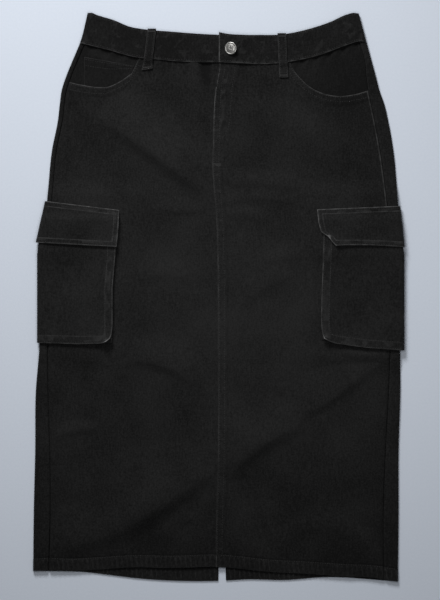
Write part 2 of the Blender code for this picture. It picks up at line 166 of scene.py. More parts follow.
FRONT_HEM = smooth_line((-265, -391), (-245, -390), (-211, -391), (-170, -389), (-117, -386),
                        (-74, -387), (0, -385.5), (80, -393), (122, -395), (180, -399),
                        (218, -400.5), (256, -406))
BACK_HEM = smooth_line((-265, -391), (-188, -393), (-150, -397.5), (-111, -402), (-64, -405),
                       (5, -405), (44, -403), (93, -404), (151, -400), (256, -406))
BAND_SEAM = smooth_line((-199, 363), (-155, 352), (-122, 343), (-87, 339), (-51, 336), (1, 335),
                        (83, 333.5), (102, 336), (143, 345), (184, 360), (201, 365), (212, 364))
BAND_TOP = smooth_line((-188, 403.5), (-184, 405.5), (-172, 402), (-149, 395), (-127, 386),
                       (-104, 382), (-69, 379), (-24, 375.5), (57, 374), (91, 375), (114, 379),
                       (137, 385), (160, 393), (182, 403), (194, 405.5), (200, 404))
SCOOP = {
    "right": smooth_line((-222, 309), (-196, 303), (-171, 299.5), (-158, 300), (-144, 306),
                         (-130, 315), (-121, 323), (-114, 340)),
    "left": smooth_line((102, 335.5), (106, 326), (116, 313), (132, 299), (149, 291),
                        (171, 287), (192, 289), (226, 299)),
}
SCOOP_START_X = {"right": -114, "left": 102}
CENTRE_BACK_X = 5.0
OUT = {"right": -1.0, "left": 1.0}
print("band seam at the centre, mm:", float(BAND_SEAM(0)))

# %% [markdown]
# ## Where the layers lie
# A skirt on a table is a flattened tube, so every point of it is a height over the table. The
# pockets wrap round the side folds, and half of each lies under the back, so the skirt rises
# over them. `step` is the soft ramp that all these rises share, and `bell` is a soft bump.

# %% Heights of the layers
POCKET_RAMP = (-106, -80, 142, 170)
FLAP_RAMP = (46, 66, 142, 170)
BAND_RAMP = (270, 316)
FRONT_PLATEAU = 116
REAR_PLATEAU = 90
PLATEAU_RAMP = 32
PUFF = 0.5  # air under the front, which lies on the back's seams


def step(value, start, end):
    """Rises from 0 to 1 between start and end, and eases in and out."""
    share = np.clip((value - start) / (end - start), 0, 1)
    return share * share * (3 - 2 * share)


def bell(away, width):
    """A bump that is 1 at no distance and has almost gone at twice its width."""
    return np.exp(-((away / width) ** 2))


def plateau(value, ramps):
    """Rises over the first two of four levels, and falls over the last two."""
    return step(value, ramps[0], ramps[1]) * (1 - step(value, ramps[2], ramps[3]))


def side_lift(x, y, reach):
    """How far a panel is lifted near the side folds by the pocket and flap beneath the back."""
    total = 0
    for side, out in OUT.items():
        inward = (FOLD_X[side](y) - x) * out
        near = (1 - step(inward, reach, reach + PLATEAU_RAMP)) * (x * out > 0)
        total = total + near * (2 * LAYER * plateau(y, POCKET_RAMP) + LAYER * plateau(y, FLAP_RAMP))
    return total


def band_lift(y):
    return LAYER * step(y, *BAND_RAMP)


def back_height(x, y):
    return BACK_MIDDLE + side_lift(x, y, REAR_PLATEAU) + band_lift(y)


# %% [markdown]
# ## Soft folds, listed one by one
# Denim that has been worn and laid down keeps a few long soft creases. Each row is one crest: its
# two ends, a middle that it bends through, a height, and how wide it runs out on its upper and
# lower sides. A steep lower side catches shade and a long upper side catches light.

# %% Folds
FOLD_DEPTH = 1.3  # every fold's height is multiplied by this
FOLDS = [
    # x1, y1, xm, ym, x2, y2, height (below zero for a valley), upper width, lower width
    (-178, 264, -104, 218, 2, 136, 8.8, 38, 13),
    (-96, 128, -60, 120, -14, 128, 2.2, 14, 6),
    (16, 164, 66, 164, 128, 156, 2.2, 14, 6),
    (20, 140, 66, 144, 124, 138, 1.8, 12, 6),
    (8, 122, 36, 120, 70, 112, 1.8, 12, 6),
    (-150, -92, -84, -74, -18, -134, 4.4, 26, 10),
    (-228, -356, -168, -344, -84, -306, 6.0, 34, 17),
    (-140, -322, -72, -296, -4, -238, 8.4, 40, 17),
    (6, -262, 42, -204, 126, -178, 7.0, 38, 15),
    (112, -172, 176, -138, 232, -86, 3.4, 30, 9),
    (26, -10, 60, 20, 112, 34, 2.2, 20, 9),
    (60, -262, 78, -310, 98, -366, 1.2, 16, 16),
    (34, -250, 52, -302, 74, -366, -5.5, 5, 5),
    (-210, 284, -203, 240, -206, 186, -4.5, 7, 7),
    (-15, 296, -14, 262, -12, 226, -3.6, 5, 5),
    (-22, 344, -18, 322, -15, 296, -5.0, 6, 6),
    (-38, 346, -32, 322, -26, 292, 2.4, 8, 6),
    (-236, -202, -204, -182, -170, -190, 2.0, 12, 6),
    (-212, -296, -218, -340, -196, -374, 2.2, 12, 8),
    (-70, -330, -40, -300, -20, -330, 1.8, 14, 8),
    (106, -330, 150, -318, 206, -340, 1.8, 20, 9),
    (200, -330, 222, -350, 226, -384, 2.2, 10, 8),
    (40, 276, 96, 262, 150, 236, 1.6, 22, 12),
    (60, 48, 110, 66, 140, 60, 1.8, 16, 8),
    (-130, 30, -76, 44, -30, 24, 1.6, 22, 10),
    (158, -76, 190, -79, 228, -82, 2.6, 5, 4),
    (-158, 170, -148, 152, -134, 134, 2.0, 9, 6),
    (-188, 349, -160, 338, -128, 330, 1.6, 5, 4),
    (-176, 338, -152, 330, -132, 322, 1.2, 4, 4),
]
CREST_POINTS = 11
BELOW_POCKET_Y = -86  # where a crease comes out from under the left pocket


def near_crest(x, y, crest):
    """The share along a crest of its nearest point, and how far and how far up it is from there."""
    x1, y1, xm, ym, x2, y2 = crest
    t = np.linspace(0, 1, CREST_POINTS)
    crest_x = (1 - t) ** 2 * x1 + 2 * t * (1 - t) * xm + t * t * x2
    crest_y = (1 - t) ** 2 * y1 + 2 * t * (1 - t) * ym + t * t * y2
    run_x, run_y = np.diff(crest_x), np.diff(crest_y)
    away_x, away_y = x[..., None] - crest_x[:-1], y[..., None] - crest_y[:-1]
    part = np.clip((away_x * run_x + away_y * run_y) / (run_x ** 2 + run_y ** 2), 0, 1)
    away_x, away_y = away_x - part * run_x, away_y - part * run_y
    distance = np.hypot(away_x, away_y)
    nearest = distance.argmin(-1)[..., None]
    part, distance, rise = (
        np.take_along_axis(values, nearest, -1)[..., 0] for values in (part, distance, away_y)
    )
    return (nearest[..., 0] + part) / (CREST_POINTS - 1), distance, rise


def fold_relief(x, y):
    """The sum of the folds' heights."""
    total = np.zeros_like(x)
    for *crest, height, upper, lower in FOLDS:
        t, distance, rise = near_crest(x, y, crest)
        width = lower + (upper - lower) * step(rise, -6, 6)
        along = np.sin(math.pi * np.clip(t, 0.02, 0.98)) ** 0.7
        total += height * along * bell(distance, width)
    return FOLD_DEPTH * total


def soft_noise(x, y, size, seed):
    """Rolling unevenness between -1 and 1, with bumps about one size apart."""
    lattice = np.random.default_rng(seed).uniform(-1, 1, (64, 64))
    u, v = x / size + 1000, y / size + 1000
    i, j = np.floor(u).astype(int), np.floor(v).astype(int)
    s, t = step(u - i, 0, 1), step(v - j, 0, 1)
    a, b = lattice[i % 64, j % 64], lattice[(i + 1) % 64, j % 64]
    c, d = lattice[i % 64, (j + 1) % 64], lattice[(i + 1) % 64, (j + 1) % 64]
    return (a * (1 - s) + b * s) * (1 - t) + (c * (1 - s) + d * s) * t


def ripple(along, period, seed):
    """An uneven row of puckers: highs and lows in turn, none quite like the next."""
    strengths = np.random.default_rng(seed).uniform(0.35, 1.0, 512)
    u = along / period * 2 + 2000
    i = np.floor(u).astype(int)
    low = strengths[i % 512] * np.where(i % 2, 1, -1)
    high = strengths[(i + 1) % 512] * np.where((i + 1) % 2, 1, -1)
    return low + (high - low) * step(u - i, 0, 1)


def front_base(x, y):
    """The middle of the front cloth, had it no folds."""
    return FRONT_MIDDLE + PUFF + side_lift(x, y, FRONT_PLATEAU) + band_lift(y)


def front_height(x, y):
    """The middle of the front cloth, with folds that die away at the side folds and the pockets."""
    free = 1 - np.clip(2 * side_lift(x, y, FRONT_PLATEAU) / (3 * LAYER), 0, 1)
    below_pocket = bell(y - BELOW_POCKET_Y, 7) * (x > 150)
    inward = np.minimum(x - FOLD_X["right"](y), FOLD_X["left"](y) - x)
    relief = fold_relief(x, y) * np.maximum(free, below_pocket)
    relief += 0.6 * soft_noise(x, y, 46, 3) * free + 0.3 * soft_noise(x, y, 17, 4)
    return front_base(x, y) + relief * step(inward, 2, 16)


everywhere = np.mgrid[-250:250:6, -380:330:6].astype(float)
print("highest fold, mm:", round(float(fold_relief(*everywhere).max()), 1))

# %% [markdown]
# ## Washed black denim
# Denim is a 3/1 twill of dyed cotton warp over paler weft. Washing rubs the dye off wherever the
# cloth stands up: on ribs, puckers and turned edges, so crests are painted paler, and hollows are
# painted darker as painted shade. A painted light fall-off makes the cloth lighter round the middle
# and darker towards the waist and the hem. Cotton is rough, so the shader has almost no gloss, only
# a little sheen from its fibres. Patterns read Object coordinates in millimetres.
# The doubled band and the facings inside the pocket mouths get darker copies of the denim: painted shade.

# %% Node helper and colours
def linear(hex_colour):
    """An sRGB hex colour as linear red, green, blue and alpha."""
    parts = [int(hex_colour[i:i + 2], 16) / 255 for i in (1, 3, 5)]
    return [v / 12.92 if v <= 0.04045 else ((v + 0.055) / 1.055) ** 2.4 for v in parts] + [1.0]


def node(tree, kind, inputs=None, **settings):
    """Adds a node and returns its outputs. An input that is a socket is linked, others are set."""
    made = tree.nodes.new(kind)
    for name, value in settings.items():
        setattr(made, name, value)
    for name, value in (inputs or {}).items():
        if isinstance(value, bpy.types.NodeSocket):
            tree.links.new(value, made.inputs[name])
        else:
            made.inputs[name].default_value = value
    return made.outputs


def new_material(name):
    """A material, its node tree, its shader, and Object coordinates in millimetres."""
    made = bpy.data.materials.new(name)
    made.use_nodes = True
    tree = made.node_tree
    where = node(tree, "ShaderNodeTexCoord")["Object"]
    in_mm = node(tree, "ShaderNodeVectorMath", {0: where, "Scale": 1000}, operation="SCALE")["Vector"]
    return made, tree, tree.nodes["Principled BSDF"], in_mm


# %% Denim
TWILL_MM = 0.9
WAVE_AT_ONE = 0.314  # a Wave texture of Scale 1 repeats at this length
SLUB_MM = 1.7
GRAIN_MM = 2.4  # real grain is half a millimetre; drawn coarser, so that it shows
FADE_MM = 80
SPOT_MM = 9  # rubbed edges are pale in spots about this far apart
CRUMPLE_MM = 11
# Painted light fall-off: the cloth is painted lighter round this centre and darker towards the waist and
# the hem.
PAINTED_LIGHT_CENTRE = (0, -10, 0)  # the centre of the painted light fall-off
PAINTED_FALLOFF = 0.2
PAINTED_FALLOFF_REACH = (50, 370)  # how far from that centre the painted fall-off begins to darken the cloth, and is darkest
# Per millimetre of relief: crests are painted paler as wear, and hollows darker as painted shade.
RELIEF_WEAR_AND_SHADE_PER_MM = 0.12
DYE = 1.35  # what is taken from the sum of the patterns, so that most of the cloth stays dark
WEAR_MM = 1.3


def make_denim(name, dark, light, core):
    """Cotton has no gloss, the twill runs at 63 degrees, and rubbed places show their pale cores."""
    made, tree, shader, in_mm = new_material(name)
    fade, grain, spots, crumple = (
        node(tree, "ShaderNodeTexNoise", {"Vector": in_mm, "Scale": 1 / size, "Detail": detail})["Fac"]
        for size, detail in ((FADE_MM, 3), (GRAIN_MM, 2), (SPOT_MM, 4), (CRUMPLE_MM, 3))
    )
    # Painted light fall-off: lighter near the centre, darker towards the waist and the hem.
    far = node(tree, "ShaderNodeVectorMath", {0: in_mm, 1: PAINTED_LIGHT_CENTRE}, operation="DISTANCE")["Value"]
    painted_falloff = node(tree, "ShaderNodeMapRange", {
        "Value": far, "From Min": PAINTED_FALLOFF_REACH[0], "From Max": PAINTED_FALLOFF_REACH[1],
        "To Min": PAINTED_FALLOFF, "To Max": -PAINTED_FALLOFF,
    })["Result"]
    # Slubs are thick places in the warp, so they are long from waist to hem.
    warpwise = node(tree, "ShaderNodeMapping", {"Vector": in_mm, "Scale": (1, 0.2, 1)})["Vector"]
    slub = node(tree, "ShaderNodeTexNoise", {"Vector": warpwise, "Scale": 1 / SLUB_MM})["Fac"]
    steep = node(tree, "ShaderNodeMapping", {
        "Vector": in_mm, "Rotation": (0, 0, math.radians(-27)),
    })["Vector"]
    twill = node(tree, "ShaderNodeTexWave", {
        "Vector": steep, "Scale": WAVE_AT_ONE / TWILL_MM, "Distortion": 0.6, "Detail": 1,
    }, bands_direction="X")["Fac"]
    # Crests are painted paler, for dye rubbed off, and hollows are painted darker: painted shade.
    relief_wear_and_shade = node(tree, "ShaderNodeAttribute", attribute_name="relief_wear_and_shade_mm")["Fac"]
    mixed = painted_falloff
    for source, share in ((fade, 1.1), (slub, 0.9), (grain, 1.5), (twill, 0.14), (relief_wear_and_shade, RELIEF_WEAR_AND_SHADE_PER_MM)):
        mixed = node(tree, "ShaderNodeMath", {
            0: source, 1: share, 2: mixed,
        }, operation="MULTIPLY_ADD")["Value"]
    tone = node(tree, "ShaderNodeMath", {0: mixed, 1: DYE}, operation="SUBTRACT")["Value"]
    cloth_colour = node(tree, "ShaderNodeMix", {
        "Factor": tone, "A": linear(dark), "B": linear(light),
    }, data_type="RGBA", clamp_factor=True)["Result"]
    edge = node(tree, "ShaderNodeAttribute", attribute_name="edge_mm")["Fac"]
    worn = node(tree, "ShaderNodeAttribute", attribute_name="worn")["Fac"]
    patchy = node(tree, "ShaderNodeMapRange", {
        "Value": spots, "From Min": 0.38, "From Max": 0.62, "To Min": 0.3, "To Max": 1,
    })["Result"]
    near_edge = node(tree, "ShaderNodeMapRange", {
        "Value": edge, "From Min": 0.2, "From Max": WEAR_MM, "To Min": 1, "To Max": 0,
    })["Result"]
    rub = node(tree, "ShaderNodeMath", {0: near_edge, 1: worn}, operation="MULTIPLY")["Value"]
    rub = node(tree, "ShaderNodeMath", {0: rub, 1: patchy}, operation="MULTIPLY")["Value"]
    colour = node(tree, "ShaderNodeMix", {
        "Factor": rub, "A": cloth_colour, "B": linear(core),
    }, data_type="RGBA", clamp_factor=True)["Result"]
    tree.links.new(colour, shader.inputs["Base Color"])
    height = crumple
    for source, share in ((slub, 0.3), (twill, 0.1), (grain, 0.3)):
        height = node(tree, "ShaderNodeMath", {
            0: source, 1: share, 2: height,
        }, operation="MULTIPLY_ADD")["Value"]
    bump = node(tree, "ShaderNodeBump", {"Height": height, "Strength": 0.6, "Distance": 0.6 * MM})
    tree.links.new(bump["Normal"], shader.inputs["Normal"])
    shader.inputs["Roughness"].default_value = 0.9
    shader.inputs["Specular IOR Level"].default_value = 0.12
    shader.inputs["Sheen Weight"].default_value = 0.03
    shader.inputs["Sheen Roughness"].default_value = 0.6
    return made


denim = make_denim("washed_black_cotton_twill", "#0a0a0a", "#222222", "#727272")
# The band's copy of the denim is painted darker: painted shade, as less light falls at the waist.
band_painted_shade_denim = make_denim("black_cotton_twill_band_painted_shade", "#080808", "#1c1c1c", "#6e6e6e")
# The copy for the facings and the coin pocket is painted darker: painted shade inside the pocket mouths.
facing_painted_shade_denim = make_denim("black_cotton_twill_facing_painted_shade", "#080808", "#191919", "#4a4a4a")
print("denim nodes:", len(denim.node_tree.nodes))


# %% Floor and thread finishes
def make_mottled(name, dark, light, grain_mm, detail, roughness):
    """A finish that wanders between two colours, in grains of one size."""
    made, tree, shader, in_mm = new_material(name)
    grain = node(tree, "ShaderNodeTexNoise", {"Vector": in_mm, "Scale": 1 / grain_mm, "Detail": detail})
    tint = node(tree, "ShaderNodeMix", {
        "Factor": grain["Fac"], "A": linear(dark), "B": linear(light),
    }, data_type="RGBA")["Result"]
    tree.links.new(tint, shader.inputs["Base Color"])
    shader.inputs["Roughness"].default_value = roughness
    return made


# Thread is spun polyester wrapped in cotton, dyed black: a little glossier than the cloth.
thread = make_mottled("black_corespun_thread", "#161616", "#3a3a3a", 0.8, 2, 0.7)
floor_mesh.materials.append(make_mottled("pale_matt_paper", "#ccd4e0", "#d4dbe6", 3, 3, 0.9))
print("finishes:", len(bpy.data.materials))

# %% [markdown]
# ## A sheet of cloth
# A woven piece is a grid, and so is its mesh: `create_grid` makes the crossings and a `place`
# function says where each one lies. A Solidify modifier gives it thickness and a Bevel rounds the
# cut edges. Each crossing also keeps how far it is from an edge that rubs, and how far it stands
# up, in millimetres, so that the denim can be worn pale at edges and crests, and painted darker in
# hollows as painted shade. Every sheet's place sets its height over the layers it lies on.

# %% Cloth maker
FRONT_LEVEL = 3.0  # cloth over this height belongs to the front
RELIEF_WEAR_AND_SHADE_RANGE = (-3.5, 0.8)  # hollows are painted darker, as painted shade, down to the first, and crests paler, as wear, up to the second
FAR = 60  # too far from an edge to be rubbed


def line_up(*groups):
    """Stations across a sheet, joined from groups of (start, end, count)."""
    parts = [np.linspace(start, end, count, endpoint=False) for start, end, count in groups]
    return np.concatenate(parts + [[groups[-1][1]]])


def rubbed(*edges):
    """Of edges given as (distance, how worn), the nearest one's distance and how worn it is."""
    nearest, worn = edges[0]
    for distance, amount in edges[1:]:
        worn = np.where(distance <= nearest, amount, worn)
        nearest = np.minimum(distance, nearest)
    return nearest, worn


def scuff(edge, worn, where, strength, nearness=0.9):
    """Wears some places as if an edge were near them."""
    return np.where(where, np.minimum(edge, nearness), edge), np.where(where, strength, worn)


def settle(x_at, edge, y, rounds=14, share=0.7):
    """Where a column, whose x depends on y, meets an edge, whose y depends on x."""
    for _ in range(rounds):
        y = y + share * (edge(x_at(y)) - y)
    return y


def add_piece(name, bm, finish, node=None):
    """Makes a piece of the skirt from a bmesh, shown in the place of a node if one is named."""
    mesh = bpy.data.meshes.new(name)
    bm.to_mesh(mesh)
    bm.free()
    mesh.shade_smooth()
    mesh.materials.append(finish)
    piece = add_object(name, mesh)
    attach(piece, "root")
    if node:
        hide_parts(node)
    return piece


def cloth(name, across, up, place, node=None, thickness=CLOTH, rounded=0.35, finish=denim):
    """place(s, w) gives x, y, z, distance from a rubbed edge, and how worn it is, for all crossings."""
    bm = bmesh.new()
    bmesh.ops.create_grid(bm, x_segments=len(across) - 1, y_segments=len(up) - 1, size=0.5)
    piece = add_piece(name, bm, finish, node)
    mesh = piece.data
    s, w = np.meshgrid(across, up)
    x, y, z, edge, worn = (np.broadcast_to(v, s.shape).astype(float) for v in place(s, w))
    points = np.stack([x, y, z], -1)
    mesh.vertices.foreach_set("co", (points * MM).ravel())
    # Relief for the denim's tone: crests are painted paler as wear, and hollows darker as painted shade.
    relief_wear_and_shade = np.clip(front_height(x, y) - front_base(x, y), *RELIEF_WEAR_AND_SHADE_RANGE) * (z > FRONT_LEVEL)
    for layer, values in (("edge_mm", edge), ("worn", worn), ("relief_wear_and_shade_mm", relief_wear_and_shade)):
        mesh.attributes.new(layer, "FLOAT", "POINT").data.foreach_set("value", values.ravel())
    wall = piece.modifiers.new("thickness", "SOLIDIFY")
    wall.thickness = thickness * MM
    wall.offset = 0
    wall.use_even_offset = thickness > 1  # a thin folded strip would grow spikes at its crease
    if rounded:
        soft_edge = piece.modifiers.new("rounded edge", "BEVEL")
        soft_edge.width = rounded * MM
        soft_edge.segments = 2
        soft_edge.limit_method = "ANGLE"
        soft_edge.angle_limit = math.radians(60)


# %% [markdown]
# ## The front panels
# Two panels meet at a lapped centre seam: the wearer's left lies over the right, turned under and
# stitched twice. That makes a ridge with a sharp, rubbed edge, and thread pulls it into puckers.
# At the top the same lap widens into the fly. The scooped pocket mouths are turned edges too.

# %% Front panels
HEM_DEPTH = 18.0
LEVEL_Y = 310.0
SEAM_RIDGE = 1.2
FLY_END_Y = 200
TACK_Y = 189
MOUTH_DEPTH = 11
MOUTH_GAPE = {"right": 1.6, "left": 0.5}
SEAM_GROOVE = {"right": 1.9, "left": 1.0}
SEAM_SHOULDER = {"right": 0.0, "left": 2.2}  # how far in from the seam the front is rubbed pale
HEM_SAG = 1.3
HEM_PARTING = 0.15  # between a panel and its turned hem
LAP_UNDER = {"right": 4.0, "left": 0.0}  # how far the right panel goes on under the left one
FLY_PINCH = (285, 320)
HEM_CLEAR = 2.1  # the front hem's middle lies at least this far over the back cloth's


def front_top(side, x):
    """The upper edge of a front: under the band, or along the scoop of the pocket mouth."""
    band = BAND_SEAM(x) + 3
    out = OUT[side]
    inside = (x - SCOOP_START_X[side]) * out > 0
    return np.where(inside, np.minimum(band, SCOOP[side](x)), band)


def lap_relief(x, y):
    """The centre seam's ridge on the wearer's left, and the cloth drawn in beside it on the right."""
    away = x - CENTRE_X(y)
    width = 11 + 14 * step(y, FLY_END_Y - 16, FLY_END_Y + 26)
    ridge = SEAM_RIDGE * (1 - step(away, width, width + 4)) * (1 - 0.3 * np.exp(-away / 0.7))
    pucker = 0.32 * ripple(y, 8.5, 5) * bell(away - 5, 5)
    groove = -0.25 * bell(away - 8.5, 1.2)
    left = ridge + pucker + groove
    right = -0.5 * bell(away, 5) + 0.22 * ripple(y, 10, 6) * bell(away, 9)
    fly_pinch = -0.8 * step(y, *FLY_PINCH) * bell(away + 14, 6)
    return np.where(away >= 0, left, right + fly_pinch)


def mouth_relief(side, x, y, top):
    """The turned lip of a pocket mouth, which gapes a little on the wearer's right."""
    inside = (x - SCOOP_START_X[side]) * OUT[side] > 0
    below = np.maximum(top - y, 0)
    lip = 1.0 * (1 - step(below, MOUTH_DEPTH, MOUTH_DEPTH + 4)) * (1 - 0.3 * np.exp(-below / 0.7))
    pucker = 0.22 * ripple(x, 8, 7) * bell(below - 5, 5)
    gape = MOUTH_GAPE[side] * np.exp(-(((x - 165 * OUT[side]) / 30) ** 2) - below / 16)
    return inside * (lip + pucker + gape)


def seam_dip(side, x, y):
    """The plain side seam is pressed open, so both panels dip into it."""
    away = np.abs(x - SEAM_X[side](y))
    pucker = 0.2 * ripple(y, 12, 9) * bell(away, 8)
    return -1.7 * bell(away, 1.9) + pucker


def panel_rows(low, high, w):
    """Rows that are level over most of a panel, and follow its upper edge only near it."""
    return low + (LEVEL_Y - low) * w + (high - LEVEL_Y) * w ** 8


def front_wear(side, x, y, top, from_hem, rope):
    """The lapped seam, the mouth, the side seam's shoulder, the hem and the puckers are rubbed."""
    seam = np.where(side == "left", x - CENTRE_X(y), FAR)
    mouth = np.where((x - SCOOP_START_X[side]) * OUT[side] > 0, np.abs(top - y) * 0.85, FAR)
    shoulder = np.abs(np.abs(x - SEAM_X[side](y)) - SEAM_SHOULDER[side])
    seam_worn = 0.36 + 0.3 * soft_noise(y, y, 50, 61) + 0.22 * step(y, 190, 240) + 0.2 * bell(y - 5, 70)
    shoulder_worn = 0.3 * step(y, 90, 160) * (side == "left")
    edge, worn = rubbed((from_hem, 0.12), (seam, seam_worn), (mouth, 0.34), (shoulder, shoulder_worn))
    ropy = ripple(y, 4.6, 62) + 0.3 * soft_noise(y, y, 40, 62)
    lap = (seam > 1.5) & (seam < 10) & (ropy > 0.1)
    fly = (np.abs(seam - 12) < 4) & (y > 235) & (y < 320) & (soft_noise(x, y, 7, 63) > 0.1)
    hem = (from_hem > 1.5) & (from_hem < 16) & (rope > 0.1)
    tack = (seam < 12) & (np.abs(y - TACK_Y) < 2.2)
    for where, strength in ((lap, 0.1), (fly, 0.16), (hem, 0.11), (tack, 0.5)):
        edge, worn = scuff(edge, worn, where, strength)
    stitched = (np.abs(from_hem - HEM_DEPTH) < 1.2) & (soft_noise(x, y, 12, 64) > 0.1)
    return np.where(stitched, 0.6, edge), np.where(stitched, 0.05, worn)


def front_place(side, hem_part):
    out = OUT[side]

    def place(s, w):
        def x_at(y):
            centre = CENTRE_X(y) + LAP_UNDER[side]
            return centre + (SEAM_X[side](y) - out * SEAM_GROOVE[side] / 2 - centre) * s

        hem = settle(x_at, FRONT_HEM, -390.0)
        if hem_part:
            y = hem + HEM_DEPTH * w
        else:
            high = settle(x_at, lambda x: front_top(side, x), LEVEL_Y)
            y = panel_rows(hem + HEM_DEPTH + HEM_PARTING, high, w)
        x = x_at(y)
        top = front_top(side, x)
        z = front_height(x, y) + lap_relief(x, y) + seam_dip(side, x, y)
        z += mouth_relief(side, x, y, top)
        from_hem = y - hem
        z += 0.9 * (1 - step(from_hem, HEM_DEPTH - 5, HEM_DEPTH)) * (from_hem < HEM_DEPTH)
        inward = np.minimum(x - FOLD_X["right"](y), FOLD_X["left"](y) - x)
        z -= HEM_SAG * bell(from_hem, 26) * step(inward, 16, 60)
        rope = ripple(x + 0.15 * from_hem, 7.0, 11) * (1 - step(from_hem, 15, 20))
        z += 0.8 * rope * bell(from_hem - 8, 8)
        z = np.maximum(z, back_height(x, y) + (HEM_CLEAR if hem_part else CLOTH + 0.1))
        return x, y, z, *front_wear(side, x, y, top, from_hem, rope)

    return place


PANEL_ACROSS = line_up((0, 0.065, 14), (0.065, 0.93, 50), (0.93, 1, 10))
HEM_ACROSS = line_up((0, 1, 180))
PANEL_UP = line_up((0, 0.02, 4), (0.02, 0.93, 230), (0.93, 1, 30))
HEM_UP = line_up((0, 1, 14))
FRONT_HEM_CLOTH = 2.2
for side in OUT:
    cloth(f"front_cloth_{side}", PANEL_ACROSS, PANEL_UP, front_place(side, False),
          f"front_panel_{side}")
    cloth(f"front_hem_{side}", HEM_ACROSS, HEM_UP, front_place(side, True),
          thickness=FRONT_HEM_CLOTH, rounded=0.8)

# %% [markdown]
# ## The back panels
# The side seams sit a little in from the folds, so the back comes round onto the front as a
# narrow strip. `over_fold` takes a piece from the front (0 to 1), round the fold as half a
# turn (1 to 2), and along the back (2 to 3), a given number of layers away from the skirt.

# %% Back panels
SLIT_TOP_Y, SLIT_END_Y = -215, -406
SLIT_WIDTH = 11.0


def half_turn(side, y, layers):
    """The level of the lower cloth at the fold, and the radius of the turn."""
    fold = FOLD_X[side](y) - OUT[side] * CLOTH / 2
    bottom = back_height(fold, y) - layers[1] * LAYER
    return bottom, (front_base(fold, y) + layers[0] * LAYER - bottom) / 2


def wrap_x(side, s, y, front_x, apex_x, rear_x, layers):
    """Where s lies across the skirt, on a strip that goes round the fold whose outside is apex_x."""
    radius = half_turn(side, y, layers)[1]
    turn = apex_x - OUT[side] * radius
    front = front_x + (turn - front_x) * s
    around = turn + OUT[side] * radius * np.sin(np.clip(s - 1, 0, 1) * math.pi)
    return np.where(s <= 1, front, np.where(s < 2, around, turn + (rear_x - turn) * (s - 2)))


def over_fold(side, s, y, front_x, apex_x, rear_x, layers):
    """The same strip's x and z. It has so many layers between it and the skirt, in front and behind."""
    x = wrap_x(side, s, y, front_x, apex_x, rear_x, layers)
    bottom, radius = half_turn(side, y, layers)
    turned = bottom + radius * (1 + np.cos(np.clip(s - 1, 0, 1) * math.pi))
    rear = back_height(x, y) - layers[1] * LAYER
    front = front_height(x, y) + layers[0] * LAYER
    return x, np.where(s <= 1, front, np.where(s < 2, turned, rear))


def slit_half(y):
    """Half of the gap between the two backs, which opens below the top of the slit."""
    opened = np.clip((SLIT_TOP_Y - y) / (SLIT_TOP_Y - SLIT_END_Y), 0, 1)
    return (GAP + opened * (SLIT_WIDTH - GAP)) / 2


def back_place(side, hem_part):
    out = OUT[side]

    def place(s, w):
        def route(y):
            front_x = SEAM_X[side](y) + out * SEAM_GROOVE[side] / 2
            rear_x = CENTRE_BACK_X + out * slit_half(y)
            return side, s, y, front_x, FOLD_X[side](y) - out * CLOTH / 2, rear_x, (0, 0)

        def x_at(y):
            return wrap_x(*route(y))

        hem = settle(x_at, lambda x: np.where(s < 2, FRONT_HEM(x), BACK_HEM(x)), -395.0)
        if hem_part:
            low, high = hem, hem + HEM_DEPTH
        else:
            low = hem + HEM_DEPTH + HEM_PARTING
            high = settle(x_at, lambda x: BAND_SEAM(x) + np.where(s < 1, 2.5, -GAP), 350.0)
        y = low + (high - low) * w
        x, z = over_fold(*route(y))
        on_front = s < 1
        z = z + np.where(on_front, seam_dip(side, x, y), 0)
        from_hem = y - hem
        inside = 1 - step(from_hem, HEM_DEPTH - 5, HEM_DEPTH)
        z += np.where(s < 1.5, 0.8 * inside, 0.25 * (1 + inside)) * (from_hem < HEM_DEPTH)
        rope = ripple(x + 0.15 * from_hem, 7.0, 13) * bell(from_hem - 8, 8)
        z += np.where(s > 2, 0.25 * (1 + rope), 0.4 * rope * on_front) * (1 - step(from_hem, 15, 19))
        seam = np.where(on_front, np.abs(x - SEAM_X[side](y)), FAR)
        fold_edge = 2 + np.abs(FOLD_X[side](y) - x) * 2 + np.where(s > 1.5, 30, 0)
        edge, worn = rubbed((fold_edge, 0.1), (from_hem, 0.14), (seam, 0.14 * step(y, 90, 160)))
        roped = (from_hem > 1.5) & (from_hem < 16) & (rope > 0.1)
        return x, y, z, *scuff(edge, worn, roped, 0.14)

    return place


WRAP = line_up((0, 1, 10), (1, 2, 12), (2, 2.06, 4), (2.06, 3, 24))
HEM_WRAP = line_up((0, 1, 12), (1, 2, 10), (2, 3, 165))
BACK_UP = line_up((0, 0.93, 190), (0.93, 1, 20))
BACK_HEM_CLOTH = 1.6
for side in OUT:
    cloth(f"back_cloth_{side}", WRAP, BACK_UP, back_place(side, False), f"back_panel_{side}")
    cloth(f"back_hem_{side}", HEM_WRAP, HEM_UP, back_place(side, True),
          thickness=BACK_HEM_CLOTH, rounded=0.5)

# %% [markdown]
# ## The waistband
# The band is one strip of doubled denim, sewn round the top with its ends overlapping at the
# centre front. Its place runs from the upper end at the closure (0) to the left fold, along the
# back, and on to the right front (5). Topstitching on a curve always puckers the band's edges.

# %% Waistband
CLOSURE_X = 0.5
UNDERLAP_END_X = 32.0
OVERLAP_RAMP = (30, 64)
BAND_RISE = 0.5
BAND_WALL = 1.7
CORNER_RISE = 3.8  # the overlapping end stands a little higher than the band under it
CORNER_REACH = 13


